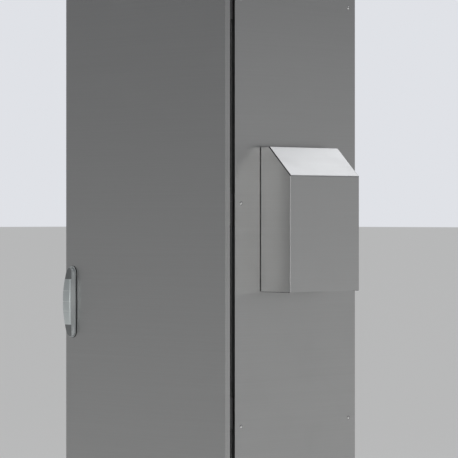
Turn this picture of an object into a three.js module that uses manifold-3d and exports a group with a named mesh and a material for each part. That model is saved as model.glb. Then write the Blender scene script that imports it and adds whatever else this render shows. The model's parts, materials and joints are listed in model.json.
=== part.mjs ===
// Automatic transfer switch: a free-standing stainless-steel enclosure with a hinged front door,
// a three-point lock with a bowed swing handle, a side-mounted weather hood over a ventilation
// fan, and inside it an I-0-II transfer switch with its interlocked drive and controller.
//
// Units are millimetres. +Z is up, -Y is the front (the door), +X is the hinge side.
// The origin is on the floor under the middle of the cabinet's footprint.

import * as THREE from 'three';
import { mergeVertices } from 'three/addons/utils/BufferGeometryUtils.js';
import Module from 'manifold-3d';

const wasm = await Module();
wasm.setup();

// ---------------------------------------------------------------- driving dimensions

const cabinet = { width: 600, depth: 500, height: 1800 };
const plinth = { height: 100, wall: 3, setback: 6, railWidth: 80, railHeight: 30 };
const gap = 0.3; // between pieces that rest on each other
const runningGap = 0.6; // between a moving piece and what guides it
const past = 1; // how far a cutting tool reaches beyond what it cuts

const panel = { sheet: 1.5, fold: 14, reveal: 4 };
const roof = { fold: 12, clear: 2 };
const door = { sheet: 2, edge: 17, lip: 14, reveal: 3 };
const groove = 18.5; // open joint between the door's edge and the side panel
const frame = {
  wall: 1.5, inset: 16, rimStart: 44, rimEnd: 60, rimBehind: 4.5, landBehind: 14.3,
  sideDepth: 78, armWidth: 34, armDepth: 56, rearDepth: 46, rearArm: 24,
  ringHeight: 60, ringFront: 50, ringRear: 56, ringSide: 68,
};
const gasket = { width: 12 };

const hinge = {
  count: 4, fromEnd: 115.5, height: 81, knuckle: 5.5, pin: 2.5, pinOut: 1.5, boreClear: 0.4,
  fromSide: 5.5, doorClear: 1.5, arm: 35, armReach: 19, leaf: 3, leafFromRim: 6.5, notchClear: 2.5,
};

const handle = {
  fromEdge: 25, aboveMiddle: 10.5, clearance: 0.7,
  base: { thick: 3, endRim: 3.5, sideRim: 0.75 },
  lever: { length: 187, width: 31, endWidth: 27, rise: 24, endRise: 13, wall: 2 },
  grip: { length: 124, width: 23, depth: 3 },
  hub: {
    radius: 9, height: 6, fromTop: 21, liftAbove: 10, liftOut: 8, pin: 1.5, earWall: 0.8, pocket: 16,
  },
};
const lock = {
  boxWidth: 20, boxHeight: 120, boxDepth: 12, rodWidth: 10, rodThick: 4, rodFront: 4, travel: 20,
  endClear: 26, spindle: 4.5, spindleShort: 4, holeClear: 1.5, innerClear: 8,
  roller: 4, rollerFromEnd: 10,
  barrelRadius: 6.5, barrelReach: 3, barrelDrop: 60, keyWay: 2, keyDepth: 3, keyLength: 8,
};

const hood = {
  width: 266, height: 374, depth: 102, flat: 27, slope: 75, sheet: 1.5, flange: 14,
  fromFront: 130.5, top: 1421, seal: 3, sealWidth: 12, sealInset: 1,
};
const screen = { thick: 1.5, above: 8, rows: 5, columns: 4, margin: 8, open: 0.5 };
const fan = {
  rotorRadius: 82, tipClear: 5, wall: 13, windowClear: 2, housingDepth: 62, flangeWidth: 18,
  flangeThick: 4, hubRadius: 34, bladeCount: 7, bladeThick: 4, bladeDepth: 26, bladeTwist: 0.6,
  spokeWidth: 8, spokeThick: 5, spokeFromEnd: 2, motorRadius: 36, motorDepth: 20,
  pin: 3, pinClear: 0.4, pinReach: 14, rotorClear: 2, boreShort: 6, bladeRoot: 4, bladeInset: 1,
  filterThick: 12, filterClear: 0.7, filterInset: 2,
};

const glands = {
  radius: 28, bore: 20, pitch: 130, plate: 2, plateRim: 8, plateClear: 1,
  above: 24, below: 18, nutRadius: 34, nutHeight: 9, neck: 1, sides: 24,
};
const backPlate = { sheet: 3, fold: 15, fromSide: 72, fromBase: 90, fromRear: 90 };

const poles = {
  count: 3, pitch: 34, barWidth: 20, barThick: 5, firstBar: 12, stagger: 24,
  firstDrop: 34, drop: 30, palm: 46,
};
const transfer = {
  middle: 1120, chassisHeight: 330, chassisDepth: 15, chassisSheet: 3, chassisMargin: 21,
  sideMargin: 18, switchHeight: 220, wall: 5, cover: 14, faceClear: 16,
  driveWidth: 92, driveHeight: 200, driveDepth: 128, sideGap: 4, shaftForward: 45,
};
const well = { side: 3, depth: 30, height: 24 };
const vent = { rows: 3, pitch: 9, fromTop: 14, halfWidth: 9, halfHeight: 2 };
const carrier = { side: 4, depth: 16, height: 24, clear: 4, travel: 8 };
const drive = {
  shaft: 8, shaftClear: 1, shaftInto: 30, boss: 16, bossClear: 1.5, crank: 11, crankWidth: 8,
  crankFromEnd: 6, crankHalf: 4, slot: 18, slotHalfHeight: 82, slotBehind: 22,
  lever: 128, leverHalf: 6, leverHalfThick: 4, knob: 11, knobLength: 30,
};
const controller = {
  width: 150, height: 96, depth: 58, above: 260, wall: 3, button: 7, buttonLength: 13, travel: 3,
  buttonFromSide: 18, buttonPitch: 24, buttonAbove: 20,
  windowLeft: 14, windowRight: 54, windowTop: 14, windowBelow: 6, windowDepth: 1.2,
};
const earthBar = {
  width: 300, height: 25, thick: 6, above: 150, standoff: 18,
  footHalf: 8, footFromEnd: 15, footShort: 2, holes: 6, holeRadius: 5, holePitch: 40,
};
const pocket = { width: 300, height: 210, depth: 32, sheet: 2, below: 220, dip: 40 };
const stiffener = {
  width: 22, depth: 14, sheet: 1.5, fromRim: 16, endClear: 60, hole: 10, holePitch: 150,
};

// ---------------------------------------------------------------- places worked out from them

const left = -cabinet.width / 2;
const right = cabinet.width / 2;
const front = -cabinet.depth / 2;
const rear = cabinet.depth / 2;
const base = plinth.height;
const top = base + cabinet.height;
const middle = (base + top) / 2;
const panelBottom = base + panel.reveal;
const panelTop = top - roof.fold - roof.clear;
const doorBottom = base + door.reveal;
const doorTop = top - roof.fold - door.reveal;
const doorInner = front + door.edge;
const doorSkin = front + door.sheet;
const panelFront = doorInner + groove;
const rimFace = doorInner + frame.rimBehind;
const landFace = doorInner + frame.landBehind;
const ringTop = base + frame.ringHeight;
const ringBottom = top - panel.sheet - gap - frame.ringHeight;
const hingeAxis = { x: right - hinge.fromSide, y: doorInner + hinge.doorClear + hinge.knuckle };
const hingePitch = (cabinet.height - 2 * hinge.fromEnd) / (hinge.count - 1);
const handleX = left + handle.fromEdge;
const handleZ = middle + handle.aboveMiddle;
const baseFace = front - gap - handle.base.thick;
const leverBack = baseFace - handle.clearance;
const hubZ = handleZ + handle.lever.length / 2 - handle.hub.fromTop;
const liftZ = hubZ + handle.hub.liftAbove;
const barrelZ = handleZ - lock.barrelDrop;
const hoodBack = right + hood.seal + gap * 2;
const hoodBottom = hood.top - hood.height;
const hoodFront = front + hood.fromFront;
const hoodMiddleY = hoodFront + hood.width / 2;
const fanZ = hood.top - hood.height / 2;
const fanBore = fan.rotorRadius + fan.tipClear;
const fanHalf = fanBore + fan.wall;
const backPlateFace = rear - backPlate.fromRear;
const chassisFace = backPlateFace - gap - transfer.chassisDepth;
const shaftY = chassisFace - transfer.shaftForward;
const switchWidth = (poles.count - 1) * poles.pitch + poles.barWidth + transfer.sideMargin * 2;
const switchX = transfer.driveWidth / 2 + transfer.sideGap + switchWidth / 2;
const carrierForward = drive.shaft + carrier.travel + carrier.depth + carrier.clear;
const switchDepth = transfer.shaftForward + carrierForward + carrier.travel + transfer.faceClear;
const switchFace = chassisFace - gap - switchDepth;
const switchBottom = transfer.middle - transfer.switchHeight / 2;
const switchTop = transfer.middle + transfer.switchHeight / 2;
const coverTop = switchTop - well.height - transfer.wall;

// ---------------------------------------------------------------- finishes

const finish = (color, roughness, metalness) => ({ color, roughness, metalness });
const stainless = finish(0x8b8c8a, 0.38, 0.9);
const galvanised = finish(0xa3a6a6, 0.45, 0.8);
const castZinc = finish(0x9a9d9c, 0.4, 0.85);
const greyPlastic = finish(0x93999a, 0.5, 0);
const darkPlastic = finish(0x303234, 0.55, 0);
const blackFoam = finish(0x1d1e1f, 0.9, 0);
const copper = finish(0xb8734a, 0.35, 0.95);
const lightPlastic = finish(0xd0d2cf, 0.5, 0);
const filterFleece = finish(0xe4e5e2, 0.95, 0);
const plinthSteel = finish(0x4a4c4e, 0.6, 0.2);
const redPlastic = finish(0xb0281f, 0.45, 0);
const greenPlastic = finish(0x2f8a4c, 0.45, 0);

// ---------------------------------------------------------------- shape helpers

/** A rectangular block between two corners. */
function block(x0, x1, y0, y1, z0, z1) {
  const shape = new THREE.BoxGeometry(x1 - x0, y1 - y0, z1 - z0);
  return shape.translate((x0 + x1) / 2, (y0 + y1) / 2, (z0 + z1) / 2);
}

/** Where an extrusion's own axes go, for a section swept along X, Y or Z. */
const sweepFrames = {
  x: new THREE.Matrix4().makeBasis(
    new THREE.Vector3(0, 1, 0), new THREE.Vector3(0, 0, 1), new THREE.Vector3(1, 0, 0)),
  y: new THREE.Matrix4().makeBasis(
    new THREE.Vector3(1, 0, 0), new THREE.Vector3(0, 0, 1), new THREE.Vector3(0, -1, 0)),
  z: new THREE.Matrix4(),
};

/** A section swept from one station to another: (y, z) along x, (x, z) along y, (x, y) along z. */
function sweep(section, axis, from, to, curveSegments = 6) {
  const shape = section instanceof THREE.Shape ? section : outline(section);
  const solid = new THREE.ExtrudeGeometry(shape, {
    depth: to - from, bevelEnabled: false, curveSegments,
  });
  solid.applyMatrix4(sweepFrames[axis]);
  const shift = { x: [from, 0, 0], y: [0, to, 0], z: [0, 0, from] }[axis];
  return solid.translate(...shift);
}

/** A closed polygon from corner points. */
function outline(points) {
  return new THREE.Shape(points.map(([u, v]) => new THREE.Vector2(u, v)));
}

/** The same polygon moved inwards by a wall's thickness, for corners listed anticlockwise. */
function inward(points, wall) {
  const edges = points.map(([u, v], i) => {
    const [nu, nv] = points[(i + 1) % points.length];
    const length = Math.hypot(nu - u, nv - v);
    const normal = [-(nv - v) / length, (nu - u) / length];
    return { normal, offset: normal[0] * u + normal[1] * v + wall };
  });
  return edges.map((edge, i) => {
    const before = edges[(i + edges.length - 1) % edges.length];
    const cross = before.normal[0] * edge.normal[1] - before.normal[1] * edge.normal[0];
    return [
      (before.offset * edge.normal[1] - edge.offset * before.normal[1]) / cross,
      (before.normal[0] * edge.offset - edge.normal[0] * before.offset) / cross,
    ];
  });
}

/** A rectangle with rounded corners about a centre. */
function roundedRectangle(u, v, width, height, radius) {
  const shape = new THREE.Shape();
  const [w, h] = [width / 2 - radius, height / 2 - radius];
  shape.absarc(u + w, v + h, radius, 0, Math.PI / 2);
  shape.absarc(u - w, v + h, radius, Math.PI / 2, Math.PI);
  shape.absarc(u - w, v - h, radius, Math.PI, 1.5 * Math.PI);
  shape.absarc(u + w, v - h, radius, 1.5 * Math.PI, 2 * Math.PI);
  shape.closePath();
  return shape;
}

/** A round bar along an axis; u and v are its place as in sweep(). */
function bar(radius, axis, u, v, from, to, sides = 20) {
  const points = Array.from({ length: sides }, (_, i) => {
    const turn = (2 * Math.PI * i) / sides;
    return [u + radius * Math.cos(turn), v + radius * Math.sin(turn)];
  });
  return sweep(points, axis, from, to);
}

/** A closed geometry as a solid for cutting and joining. */
function solid(geometry) {
  const bare = geometry.clone();
  bare.deleteAttribute('normal');
  bare.deleteAttribute('uv');
  const merged = mergeVertices(bare, 1e-4);
  return new wasm.Manifold(new wasm.Mesh({
    numProp: 3,
    vertProperties: Float32Array.from(merged.attributes.position.array),
    triVerts: Uint32Array.from(merged.index.array),
  }));
}

/** A solid's surface as a geometry. */
function surface(body) {
  const mesh = body.getMesh();
  const geometry = new THREE.BufferGeometry();
  geometry.setAttribute('position', new THREE.BufferAttribute(mesh.vertProperties, 3));
  geometry.setIndex(new THREE.BufferAttribute(mesh.triVerts, 1));
  geometry.computeVertexNormals();
  return geometry;
}

/** Pieces joined into one. */
function join(first, ...others) {
  return surface(others.reduce((body, other) => body.add(solid(other)), solid(first)));
}

/** A piece with others taken out of it. */
function cut(first, ...tools) {
  return surface(tools.reduce((body, tool) => body.subtract(solid(tool)), solid(first)));
}

const assembly = new THREE.Group();

/** Puts one named piece into the assembly. */
function place(name, geometry, look) {
  const mesh = new THREE.Mesh(geometry, new THREE.MeshStandardMaterial(look));
  mesh.name = name;
  assembly.add(mesh);
}

// ---------------------------------------------------------------- plinth and frame

/** Welded plinth: a ring of upright plates with a front-to-rear rail across the middle. */
function buildPlinth() {
  const x = right - plinth.setback;
  const y = rear - plinth.setback;
  const height = plinth.height - gap;
  const ring = cut(
    block(-x, x, -y, y, 0, height),
    block(-x + plinth.wall, x - plinth.wall, -y + plinth.wall, y - plinth.wall, -past, height + past));
  const half = plinth.railWidth / 2;
  const rail = cut(
    block(-half, half, -y + plinth.wall / 2, y - plinth.wall / 2, 0, plinth.railHeight),
    block(-half + plinth.wall, half - plinth.wall, -y, y, plinth.wall, plinth.railHeight + past));
  place('plinth', join(ring, rail), plinthSteel);
}

/** A welded ring of the frame with its stretch of sealing rim along the door opening. */
function frameRing(z0, z1, rimZ0, rimZ1) {
  const outer = right - frame.inset;
  const inner = right - frame.ringSide;
  const ring = cut(
    block(-outer, outer, landFace, rear - frame.inset, z0, z1),
    block(
      -inner, inner, landFace + frame.ringFront, rear - frame.inset - frame.ringRear,
      z0 - past, z1 + past));
  const rim = right - frame.rimStart;
  return join(ring, block(-rim, rim, rimFace, landFace + frame.wall, rimZ0, rimZ1));
}

function buildRings() {
  const rimDepth = frame.rimEnd - frame.rimStart;
  place('base_frame', frameRing(base, ringTop, ringTop - rimDepth, ringTop), galvanised);
  place('top_frame',
    frameRing(ringBottom, ringBottom + frame.ringHeight, ringBottom, ringBottom + rimDepth), galvanised);
}

/** Corner points of an upright's section, from its side face inwards and its outer face back. */
function uprightSection(isFront) {
  const { inset, rimStart, rimEnd, sideDepth, armWidth, armDepth, rearDepth, rearArm } = frame;
  const [rimDepth, landDepth] = [rimFace - front, landFace - front];
  if (isFront) {
    return [
      [rimEnd, rimDepth], [rimStart, rimDepth], [rimStart, landDepth], [inset, landDepth],
      [inset, sideDepth], [armWidth, sideDepth], [armWidth, armDepth], [rimEnd, armDepth],
    ];
  }
  return [
    [rimEnd, inset], [inset, inset], [inset, inset + rearDepth], [armWidth, inset + rearDepth],
    [armWidth, inset + rearArm], [rimEnd, inset + rearArm],
  ];
}

/** One hollow roll-formed upright between the two rings. */
function buildUpright(name, isRight, isFront) {
  const points = uprightSection(isFront).map(([fromSide, fromFace]) => [
    isRight ? right - fromSide : left + fromSide,
    isFront ? front + fromFace : rear - fromFace,
  ]);
  const ordered = THREE.ShapeUtils.area(points.map(([x, y]) => ({ x, y }))) > 0
    ? points : points.reverse();
  const section = outline(ordered);
  section.holes.push(outline(inward(ordered, frame.wall)));
  place(name, sweep(section, 'z', ringTop + gap, ringBottom - gap), galvanised);
}

// ---------------------------------------------------------------- outer panels

/** Side panel: a flat skin with its four edges folded in; the right one has the fan's window. */
function buildSidePanel(name, side) {
  const span = (outer, inner) => [Math.min(side * outer, side * inner), Math.max(side * outer, side * inner)];
  const s = panel.sheet;
  const y1 = rear - gap;
  const body = cut(
    block(...span(right, right - panel.fold), panelFront, y1, panelBottom, panelTop),
    block(
      ...span(right - s, right - panel.fold - past), panelFront + s, y1 - s,
      panelBottom + s, panelTop - s));
  if (side < 0) {
    place(name, body, stainless);
    return;
  }
  const half = fanHalf + fan.windowClear;
  const window = block(
    right - s - past, right + past, hoodMiddleY - half, hoodMiddleY + half, fanZ - half, fanZ + half);
  place(name, cut(body, window), stainless);
}

function buildRearPanel() {
  const x = right - panel.fold - gap * 2;
  const s = panel.sheet;
  place('rear_panel', cut(
    block(-x, x, rear - panel.fold, rear, panelBottom, panelTop),
    block(-x + s, x - s, rear - panel.fold - past, rear - s, panelBottom + s, panelTop - s)), stainless);
}

/** Roof plate over the door, the groove and the panels, with its edges folded down. */
function buildRoof() {
  const s = panel.sheet;
  const skirt = top - roof.fold;
  place('roof_plate', cut(
    block(left, right, front, rear, skirt, top),
    block(left + s, right - s, front + s, rear - s, skirt - past, top - s)), stainless);
}

/** Gland plate over the base opening, with one hole for each cable gland. */
function buildGlandPlate() {
  const x = right - frame.rimEnd - glands.plateClear;
  const y0 = landFace + frame.ringFront - glands.plateRim;
  const y1 = rear - frame.inset - frame.ringRear + glands.plateRim;
  const z0 = ringTop + gap;
  const z1 = z0 + glands.plate;
  const holes = [-1, 0, 1].map((i) => bar(
    glands.radius + gap, 'z', i * glands.pitch, 0, z0 - past, z1 + past, glands.sides));
  place('gland_plate', cut(block(-x, x, y0, y1, z0, z1), ...holes), galvanised);
}

/** Cable gland: a threaded sleeve through the plate with its hexagon resting on top. */
function buildGland(name, index) {
  const x = index * glands.pitch;
  const seat = ringTop + glands.plate + gap * 2;
  const { radius, sides, above, below, nutHeight, neck } = glands;
  const body = join(
    bar(radius, 'z', x, 0, seat - below, seat + past, sides),
    bar(glands.nutRadius, 'z', x, 0, seat, seat + nutHeight, 6),
    bar(radius - neck, 'z', x, 0, seat + nutHeight - past, seat + above, sides));
  const bore = bar(glands.bore, 'z', x, 0, seat - below - past, seat + above + past, sides);
  place(name, cut(body, bore), greyPlastic);
}

// ---------------------------------------------------------------- door

/** Door: a deep-folded tray with a lip turned back all round and holes for handle and lock. */
function buildDoor() {
  const s = door.sheet;
  const { lip } = door;
  const hollow = block(left + s, right - s, doorSkin, doorInner - s, doorBottom + s, doorTop - s);
  const mouth = block(
    left + lip, right - lip, doorInner - s - past, doorInner + past, doorBottom + lip, doorTop - lip);
  const holes = [[lock.spindle + lock.holeClear, hubZ], [lock.barrelRadius + runningGap, barrelZ]]
    .map(([radius, z]) => bar(radius, 'y', handleX, z, front - past, doorSkin + past));
  const body = block(left, right, front, doorInner, doorBottom, doorTop);
  place('door_panel', cut(body, hollow, mouth, ...holes), stainless);
}

/** Foam gasket on the door's inner face, pressing on the frame's sealing rim. */
function buildDoorGasket() {
  const w = gasket.width;
  const rimMiddle = (frame.rimStart + frame.rimEnd) / 2;
  const rimHalf = (frame.rimEnd - frame.rimStart) / 2;
  const x = right - rimMiddle + w / 2;
  const z0 = ringTop - rimHalf - w / 2;
  const z1 = ringBottom + rimHalf + w / 2;
  const y0 = doorSkin + gap;
  const y1 = rimFace - gap;
  place('door_gasket', cut(
    block(-x, x, y0, y1, z0, z1),
    block(-x + w, x - w, y0 - past, y1 + past, z0 + w, z1 - w)), blackFoam);
}

/** Perforated hat-section stiffener on the inside of the door. */
function buildStiffener(name, side) {
  const x0 = side * (right - frame.rimEnd - stiffener.fromRim - stiffener.width / 2);
  const half = stiffener.width / 2;
  const z0 = ringTop + stiffener.endClear;
  const z1 = ringBottom - stiffener.endClear;
  const y0 = doorSkin + gap;
  const y1 = y0 + stiffener.depth;
  const s = stiffener.sheet;
  const body = block(x0 - half, x0 + half, y0, y1, z0, z1);
  const hollow = block(x0 - half + s, x0 + half - s, y0 - past, y1 - s, z0 - past, z1 + past);
  const count = Math.floor((z1 - z0 - stiffener.holePitch) / stiffener.holePitch) + 1;
  const first = (z0 + z1) / 2 - ((count - 1) * stiffener.holePitch) / 2;
  const h = stiffener.hole / 2;
  const holes = Array.from({ length: count }, (_, i) => {
    const z = first + i * stiffener.holePitch;
    return block(x0 - h, x0 + h, y1 - s - past, y1 + past, z - h, z + h);
  });
  place(name, cut(body, hollow, ...holes), galvanised);
}

/** Open-topped pocket for drawings on the inside of the door, dipped in the middle of its front. */
function buildPocket() {
  const half = pocket.width / 2;
  const z0 = middle - pocket.below - pocket.height / 2;
  const z1 = z0 + pocket.height;
  const y0 = doorSkin + gap;
  const y1 = y0 + pocket.depth;
  const s = pocket.sheet;
  place('document_pocket', cut(
    block(-half, half, y0, y1, z0, z1),
    block(-half + s, half - s, y0 + s, y1 - s, z0 + s, z1 + past),
    block(-half / 3, half / 3, y1 - s - past, y1 + past, z1 - pocket.dip, z1 + past)), lightPlastic);
}

// ---------------------------------------------------------------- hinges

/** Fixed hinge leaf on the frame: two knuckles on a plate, notched for the middle knuckle. */
function buildHingeLeaf(name, z) {
  const { x, y } = hingeAxis;
  const half = hinge.height / 2;
  const notch = hinge.arm / 2 + runningGap;
  const clear = hinge.knuckle + hinge.notchClear;
  const plateX = right - frame.rimStart + hinge.leafFromRim;
  const plateY = landFace - gap;
  const body = join(
    block(plateX, x, plateY - hinge.leaf, plateY, z - half, z + half),
    bar(hinge.knuckle, 'z', x, y, z - half, z + half));
  place(name, cut(
    body,
    block(x - clear, x + clear, y - clear, y + clear, z - notch, z + notch),
    bar(hinge.pin + hinge.boreClear, 'z', x, y, z - half - past, z + half + past)), castZinc);
}

/** Hinge arm on the door's lip, with its middle knuckle and the pin through all three knuckles. */
function buildHingeArm(name, z) {
  const { x, y } = hingeAxis;
  const half = hinge.arm / 2;
  const plateY = doorInner + gap;
  const pinHalf = hinge.height / 2 + hinge.pinOut;
  place(name, join(
    block(x - hinge.armReach, x, plateY, plateY + hinge.leaf, z - half, z + half),
    bar(hinge.knuckle, 'z', x, y, z - half, z + half),
    bar(hinge.pin, 'z', x, y, z - pinHalf, z + pinHalf)), castZinc);
}

function buildHinges() {
  for (let i = 0; i < hinge.count; i += 1) {
    const z = middle + (i - (hinge.count - 1) / 2) * hingePitch;
    buildHingeLeaf(`hinge_leaf_${i + 1}`, z);
    buildHingeArm(`hinge_arm_${i + 1}`, z);
  }
}

// ---------------------------------------------------------------- handle and lock

/** A spindle-shaped outline, widest at its middle, with rounded ends; long side upright. */
function spindle(u, v, { length, width, endWidth }) {
  const steps = 14;
  const roundFrom = 1 - endWidth / length;
  const halfWidth = (share) => {
    const taper = (endWidth + (width - endWidth) * (1 - share * share)) / 2;
    const beyond = Math.max(0, (Math.abs(share) - roundFrom) / (1 - roundFrom));
    return taper * Math.sqrt(Math.max(0, 1 - beyond * beyond));
  };
  const shares = Array.from({ length: steps + 1 }, (_, i) => Math.sin((i / steps - 0.5) * Math.PI));
  const rightSide = shares.map((share) => [u + halfWidth(share), v + (share * length) / 2]);
  const leftSide = shares.slice(1, -1).reverse()
    .map((share) => [u - halfWidth(share), v + (share * length) / 2]);
  return outline([...rightSide, ...leftSide]);
}

/** How far the lever's crest stands out at a height, highest at its middle. */
function crest(z) {
  const share = (z - handleZ) / (handle.lever.length / 2);
  return handle.lever.endRise + (handle.lever.rise - handle.lever.endRise) * (1 - share * share);
}

/** The space behind the lever's crest, moved in by a distance, between two heights. */
function underCrest(inset, z0, z1, halfWidth) {
  const steps = 12;
  const bow = Array.from({ length: steps + 1 }, (_, i) => {
    const z = z0 + ((z1 - z0) * i) / steps;
    return [front - crest(z) + inset, z];
  });
  const side = outline([...bow, [front + 1, z1], [front + 1, z0]]);
  return sweep(side, 'x', handleX - halfWidth, handleX + halfWidth);
}

/** Flat base plate of the handle, with the hub's and the key barrel's holes. */
function buildHandleBase() {
  const { length, width, endWidth } = handle.lever;
  const { endRim, sideRim } = handle.base;
  const back = front - gap;
  const plan = spindle(handleX, handleZ, {
    length: length + endRim * 2, width: width + sideRim * 2, endWidth: endWidth + sideRim * 2,
  });
  const holes = [[handle.hub.radius, hubZ], [lock.barrelRadius, barrelZ]]
    .map(([radius, z]) => bar(radius + runningGap, 'y', handleX, z, baseFace - past, back + past));
  place('handle_base', cut(sweep(plan, 'y', baseFace, back), ...holes), castZinc);
}

/** Turning hub: a round boss, the ear and cross pin that the lever lifts on, and the spindle. */
function buildHandleHub() {
  const { radius, height, liftOut, pin, earWall } = handle.hub;
  const pinHalf = handle.lever.endWidth / 2 - handle.lever.wall - runningGap;
  const ear = pin + earWall;
  const spindleEnd = doorSkin + gap + lock.boxDepth - lock.spindleShort;
  place('handle_hub', join(
    bar(radius, 'y', handleX, hubZ, leverBack - height, front - gap),
    block(
      handleX - radius / 2, handleX + radius / 2, front - liftOut - ear, leverBack, hubZ, liftZ + ear),
    bar(pin, 'x', front - liftOut, liftZ, handleX - pinHalf, handleX + pinHalf, 12),
    bar(lock.spindle, 'y', handleX, hubZ, front - past, spindleEnd, 4)), castZinc);
}

/** Bowed lever: a hollow spindle, highest at its middle, that covers the hub and key barrel. */
function buildHandleLever() {
  const { length, width, endWidth, rise, wall } = handle.lever;
  const { depth } = handle.grip;
  const z0 = handleZ - length / 2;
  const z1 = handleZ + length / 2;
  const plan = sweep(spindle(handleX, handleZ, handle.lever), 'y', front - rise - past, leverBack);
  const inner = { length: length - wall * 2, width: width - wall * 2, endWidth: endWidth - wall * 2 };
  const innerPlan = sweep(spindle(handleX, handleZ, inner), 'y', front - rise, front + past);
  const under = (inset, low, high) => solid(underCrest(inset, low, high, width));
  const hollow = solid(innerPlan).intersect(under(depth + wall, z0, z1));
  const hubPocket = solid(innerPlan).intersect(under(wall, hubZ - handle.hub.pocket, z1 - wall));
  const gripSeat = solid(gripShape(handle.grip)).subtract(under(depth, z0 - past, z1 + past));
  const liftClear = block(
    handleX - width, handleX + width, front - handle.hub.liftOut - past, front,
    liftZ - handle.hub.pin, z1 + past);
  const shell = solid(plan).intersect(under(0, z0 - past, z1 + past)).subtract(hollow);
  place('handle_lever', surface(
    shell.subtract(hubPocket).subtract(gripSeat).subtract(solid(liftClear))), castZinc);
}

/** A block over the lever's crest with the grip's outline, before its crown is shaped. */
function gripShape({ length, width, depth }) {
  const plan = roundedRectangle(handleX, handleZ, width, length, depth);
  return sweep(plan, 'y', front - handle.lever.rise - past * 2, front);
}

/** Grip insert let into the lever's crest, with the same bow. */
function buildHandleGrip() {
  const { length, width, depth } = handle.grip;
  const z0 = handleZ - length / 2 - past;
  const z1 = handleZ + length / 2 + past;
  const fitted = { length: length - gap * 2, width: width - gap * 2, depth: depth - gap };
  const insert = solid(gripShape(fitted))
    .intersect(solid(underCrest(0, z0, z1, width)))
    .subtract(solid(underCrest(depth - gap, z0 - past, z1 + past, width)));
  place('handle_grip', surface(insert), greyPlastic);
}

/** Key barrel, flush with the base plate, with its key way. */
function buildLockBarrel() {
  const barrel = bar(lock.barrelRadius, 'y', handleX, barrelZ, baseFace, doorSkin + lock.barrelReach);
  const way = lock.keyWay / 2;
  const reach = lock.keyLength / 2;
  place('lock_barrel', cut(
    barrel, block(
      handleX - way, handleX + way, baseFace - past, baseFace + lock.keyDepth,
      barrelZ - reach, barrelZ + reach)), castZinc);
}

/** Gearbox behind the door that turns the spindle's quarter turn into the rods' travel. */
function buildLockGearbox() {
  const half = lock.boxWidth / 2;
  const y0 = doorSkin + gap;
  const y1 = y0 + lock.boxDepth;
  const z0 = hubZ - lock.boxHeight / 2;
  const z1 = hubZ + lock.boxHeight / 2;
  const rodY = doorSkin + lock.rodFront;
  const slotHalf = lock.rodWidth / 2 + runningGap;
  const channel = block(
    handleX - slotHalf, handleX + slotHalf, rodY - runningGap, rodY + lock.rodThick + runningGap,
    z0 - past, z1 + past);
  const bore = bar(lock.spindle + lock.holeClear, 'y', handleX, hubZ, y0 - past, y1 + past);
  place('lock_gearbox', cut(
    block(handleX - half, handleX + half, y0, y1, z0, z1), channel, bore), galvanised);
}

/** Lock rod: a flat bar with a roller end, sliding up or down behind the door's edge. */
function buildLockRod(name, direction) {
  const half = lock.rodWidth / 2;
  const y0 = doorSkin + lock.rodFront;
  const y1 = y0 + lock.rodThick;
  const near = hubZ + direction * (lock.travel + lock.spindle + lock.innerClear);
  const lipEdge = direction > 0 ? doorTop - door.lip : doorBottom + door.lip;
  const far = lipEdge - direction * lock.endClear;
  const rollerZ = far - direction * lock.rollerFromEnd;
  place(name, join(
    block(handleX - half, handleX + half, y0, y1, Math.min(near, far), Math.max(near, far)),
    bar(lock.roller, 'x', y1, rollerZ, handleX - half, handleX + half, 16)), galvanised);
}

// ---------------------------------------------------------------- hood and fan

/** Section of the hood seen from its side: flat top, 45-degree roof, upright front, open below. */
function hoodSection(wall) {
  const atBend = wall * Math.tan(Math.PI / 8);
  const x1 = hoodBack + hood.depth - wall;
  const flatEnd = hoodBack + hood.flat - atBend;
  const slopeEnd = hood.top - hood.slope - atBend;
  const [x0, z0] = wall > 0 ? [hoodBack - past, hoodBottom - past] : [hoodBack, hoodBottom];
  return outline([[x0, z0], [x1, z0], [x1, slopeEnd], [flatEnd, hood.top - wall], [x0, hood.top - wall]]);
}

/** Sheet-metal weather hood with a flange turned in along the panel, on a foam seal. */
function buildHood() {
  const { sheet, flange, sealWidth, sealInset } = hood;
  const y0 = hoodFront;
  const y1 = hoodFront + hood.width;
  const shell = cut(
    sweep(hoodSection(0), 'y', y0, y1), sweep(hoodSection(sheet), 'y', y0 + sheet, y1 - sheet));
  const rim = cut(
    block(hoodBack, hoodBack + sheet, y0 + gap, y1 - gap, hoodBottom, hood.top - gap),
    block(
      hoodBack - past, hoodBack + sheet + past, y0 + flange, y1 - flange,
      hoodBottom - past, hood.top - flange));
  place('hood_shell', join(shell, rim), stainless);

  const [s0, s1] = [y0 + sealInset, y1 - sealInset];
  const sealTop = hood.top - sealInset;
  place('hood_seal', cut(
    block(right + gap, right + gap + hood.seal, s0, s1, hoodBottom, sealTop),
    block(
      right, hoodBack + past, s0 + sealWidth, s1 - sealWidth,
      hoodBottom - past, sealTop - sealWidth)), blackFoam);
}

/** Slotted screen across the hood's lower mouth. */
function buildHoodScreen() {
  const y0 = hoodFront + hood.sheet + gap;
  const y1 = hoodFront + hood.width - hood.sheet - gap;
  const x0 = hoodBack + hood.sheet + gap;
  const x1 = hoodBack + hood.depth - hood.sheet - gap;
  const z = hoodBottom + screen.above;
  const pitch = (x1 - x0) / screen.rows;
  const bay = (y1 - y0) / screen.columns;
  const land = (1 - screen.open) / 2;
  const slots = [];
  for (let row = 0; row < screen.rows; row += 1) {
    const [xs, xe] = [x0 + (row + land) * pitch, x0 + (row + 1 - land) * pitch];
    for (let column = 0; column < screen.columns; column += 1) {
      const [ys, ye] = [y0 + column * bay + screen.margin, y0 + (column + 1) * bay - screen.margin];
      slots.push(block(xs, xe, ys, ye, z - past, z + screen.thick + past));
    }
  }
  place('hood_screen', cut(block(x0, x1, y0, y1, z, z + screen.thick), ...slots), galvanised);
}

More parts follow.
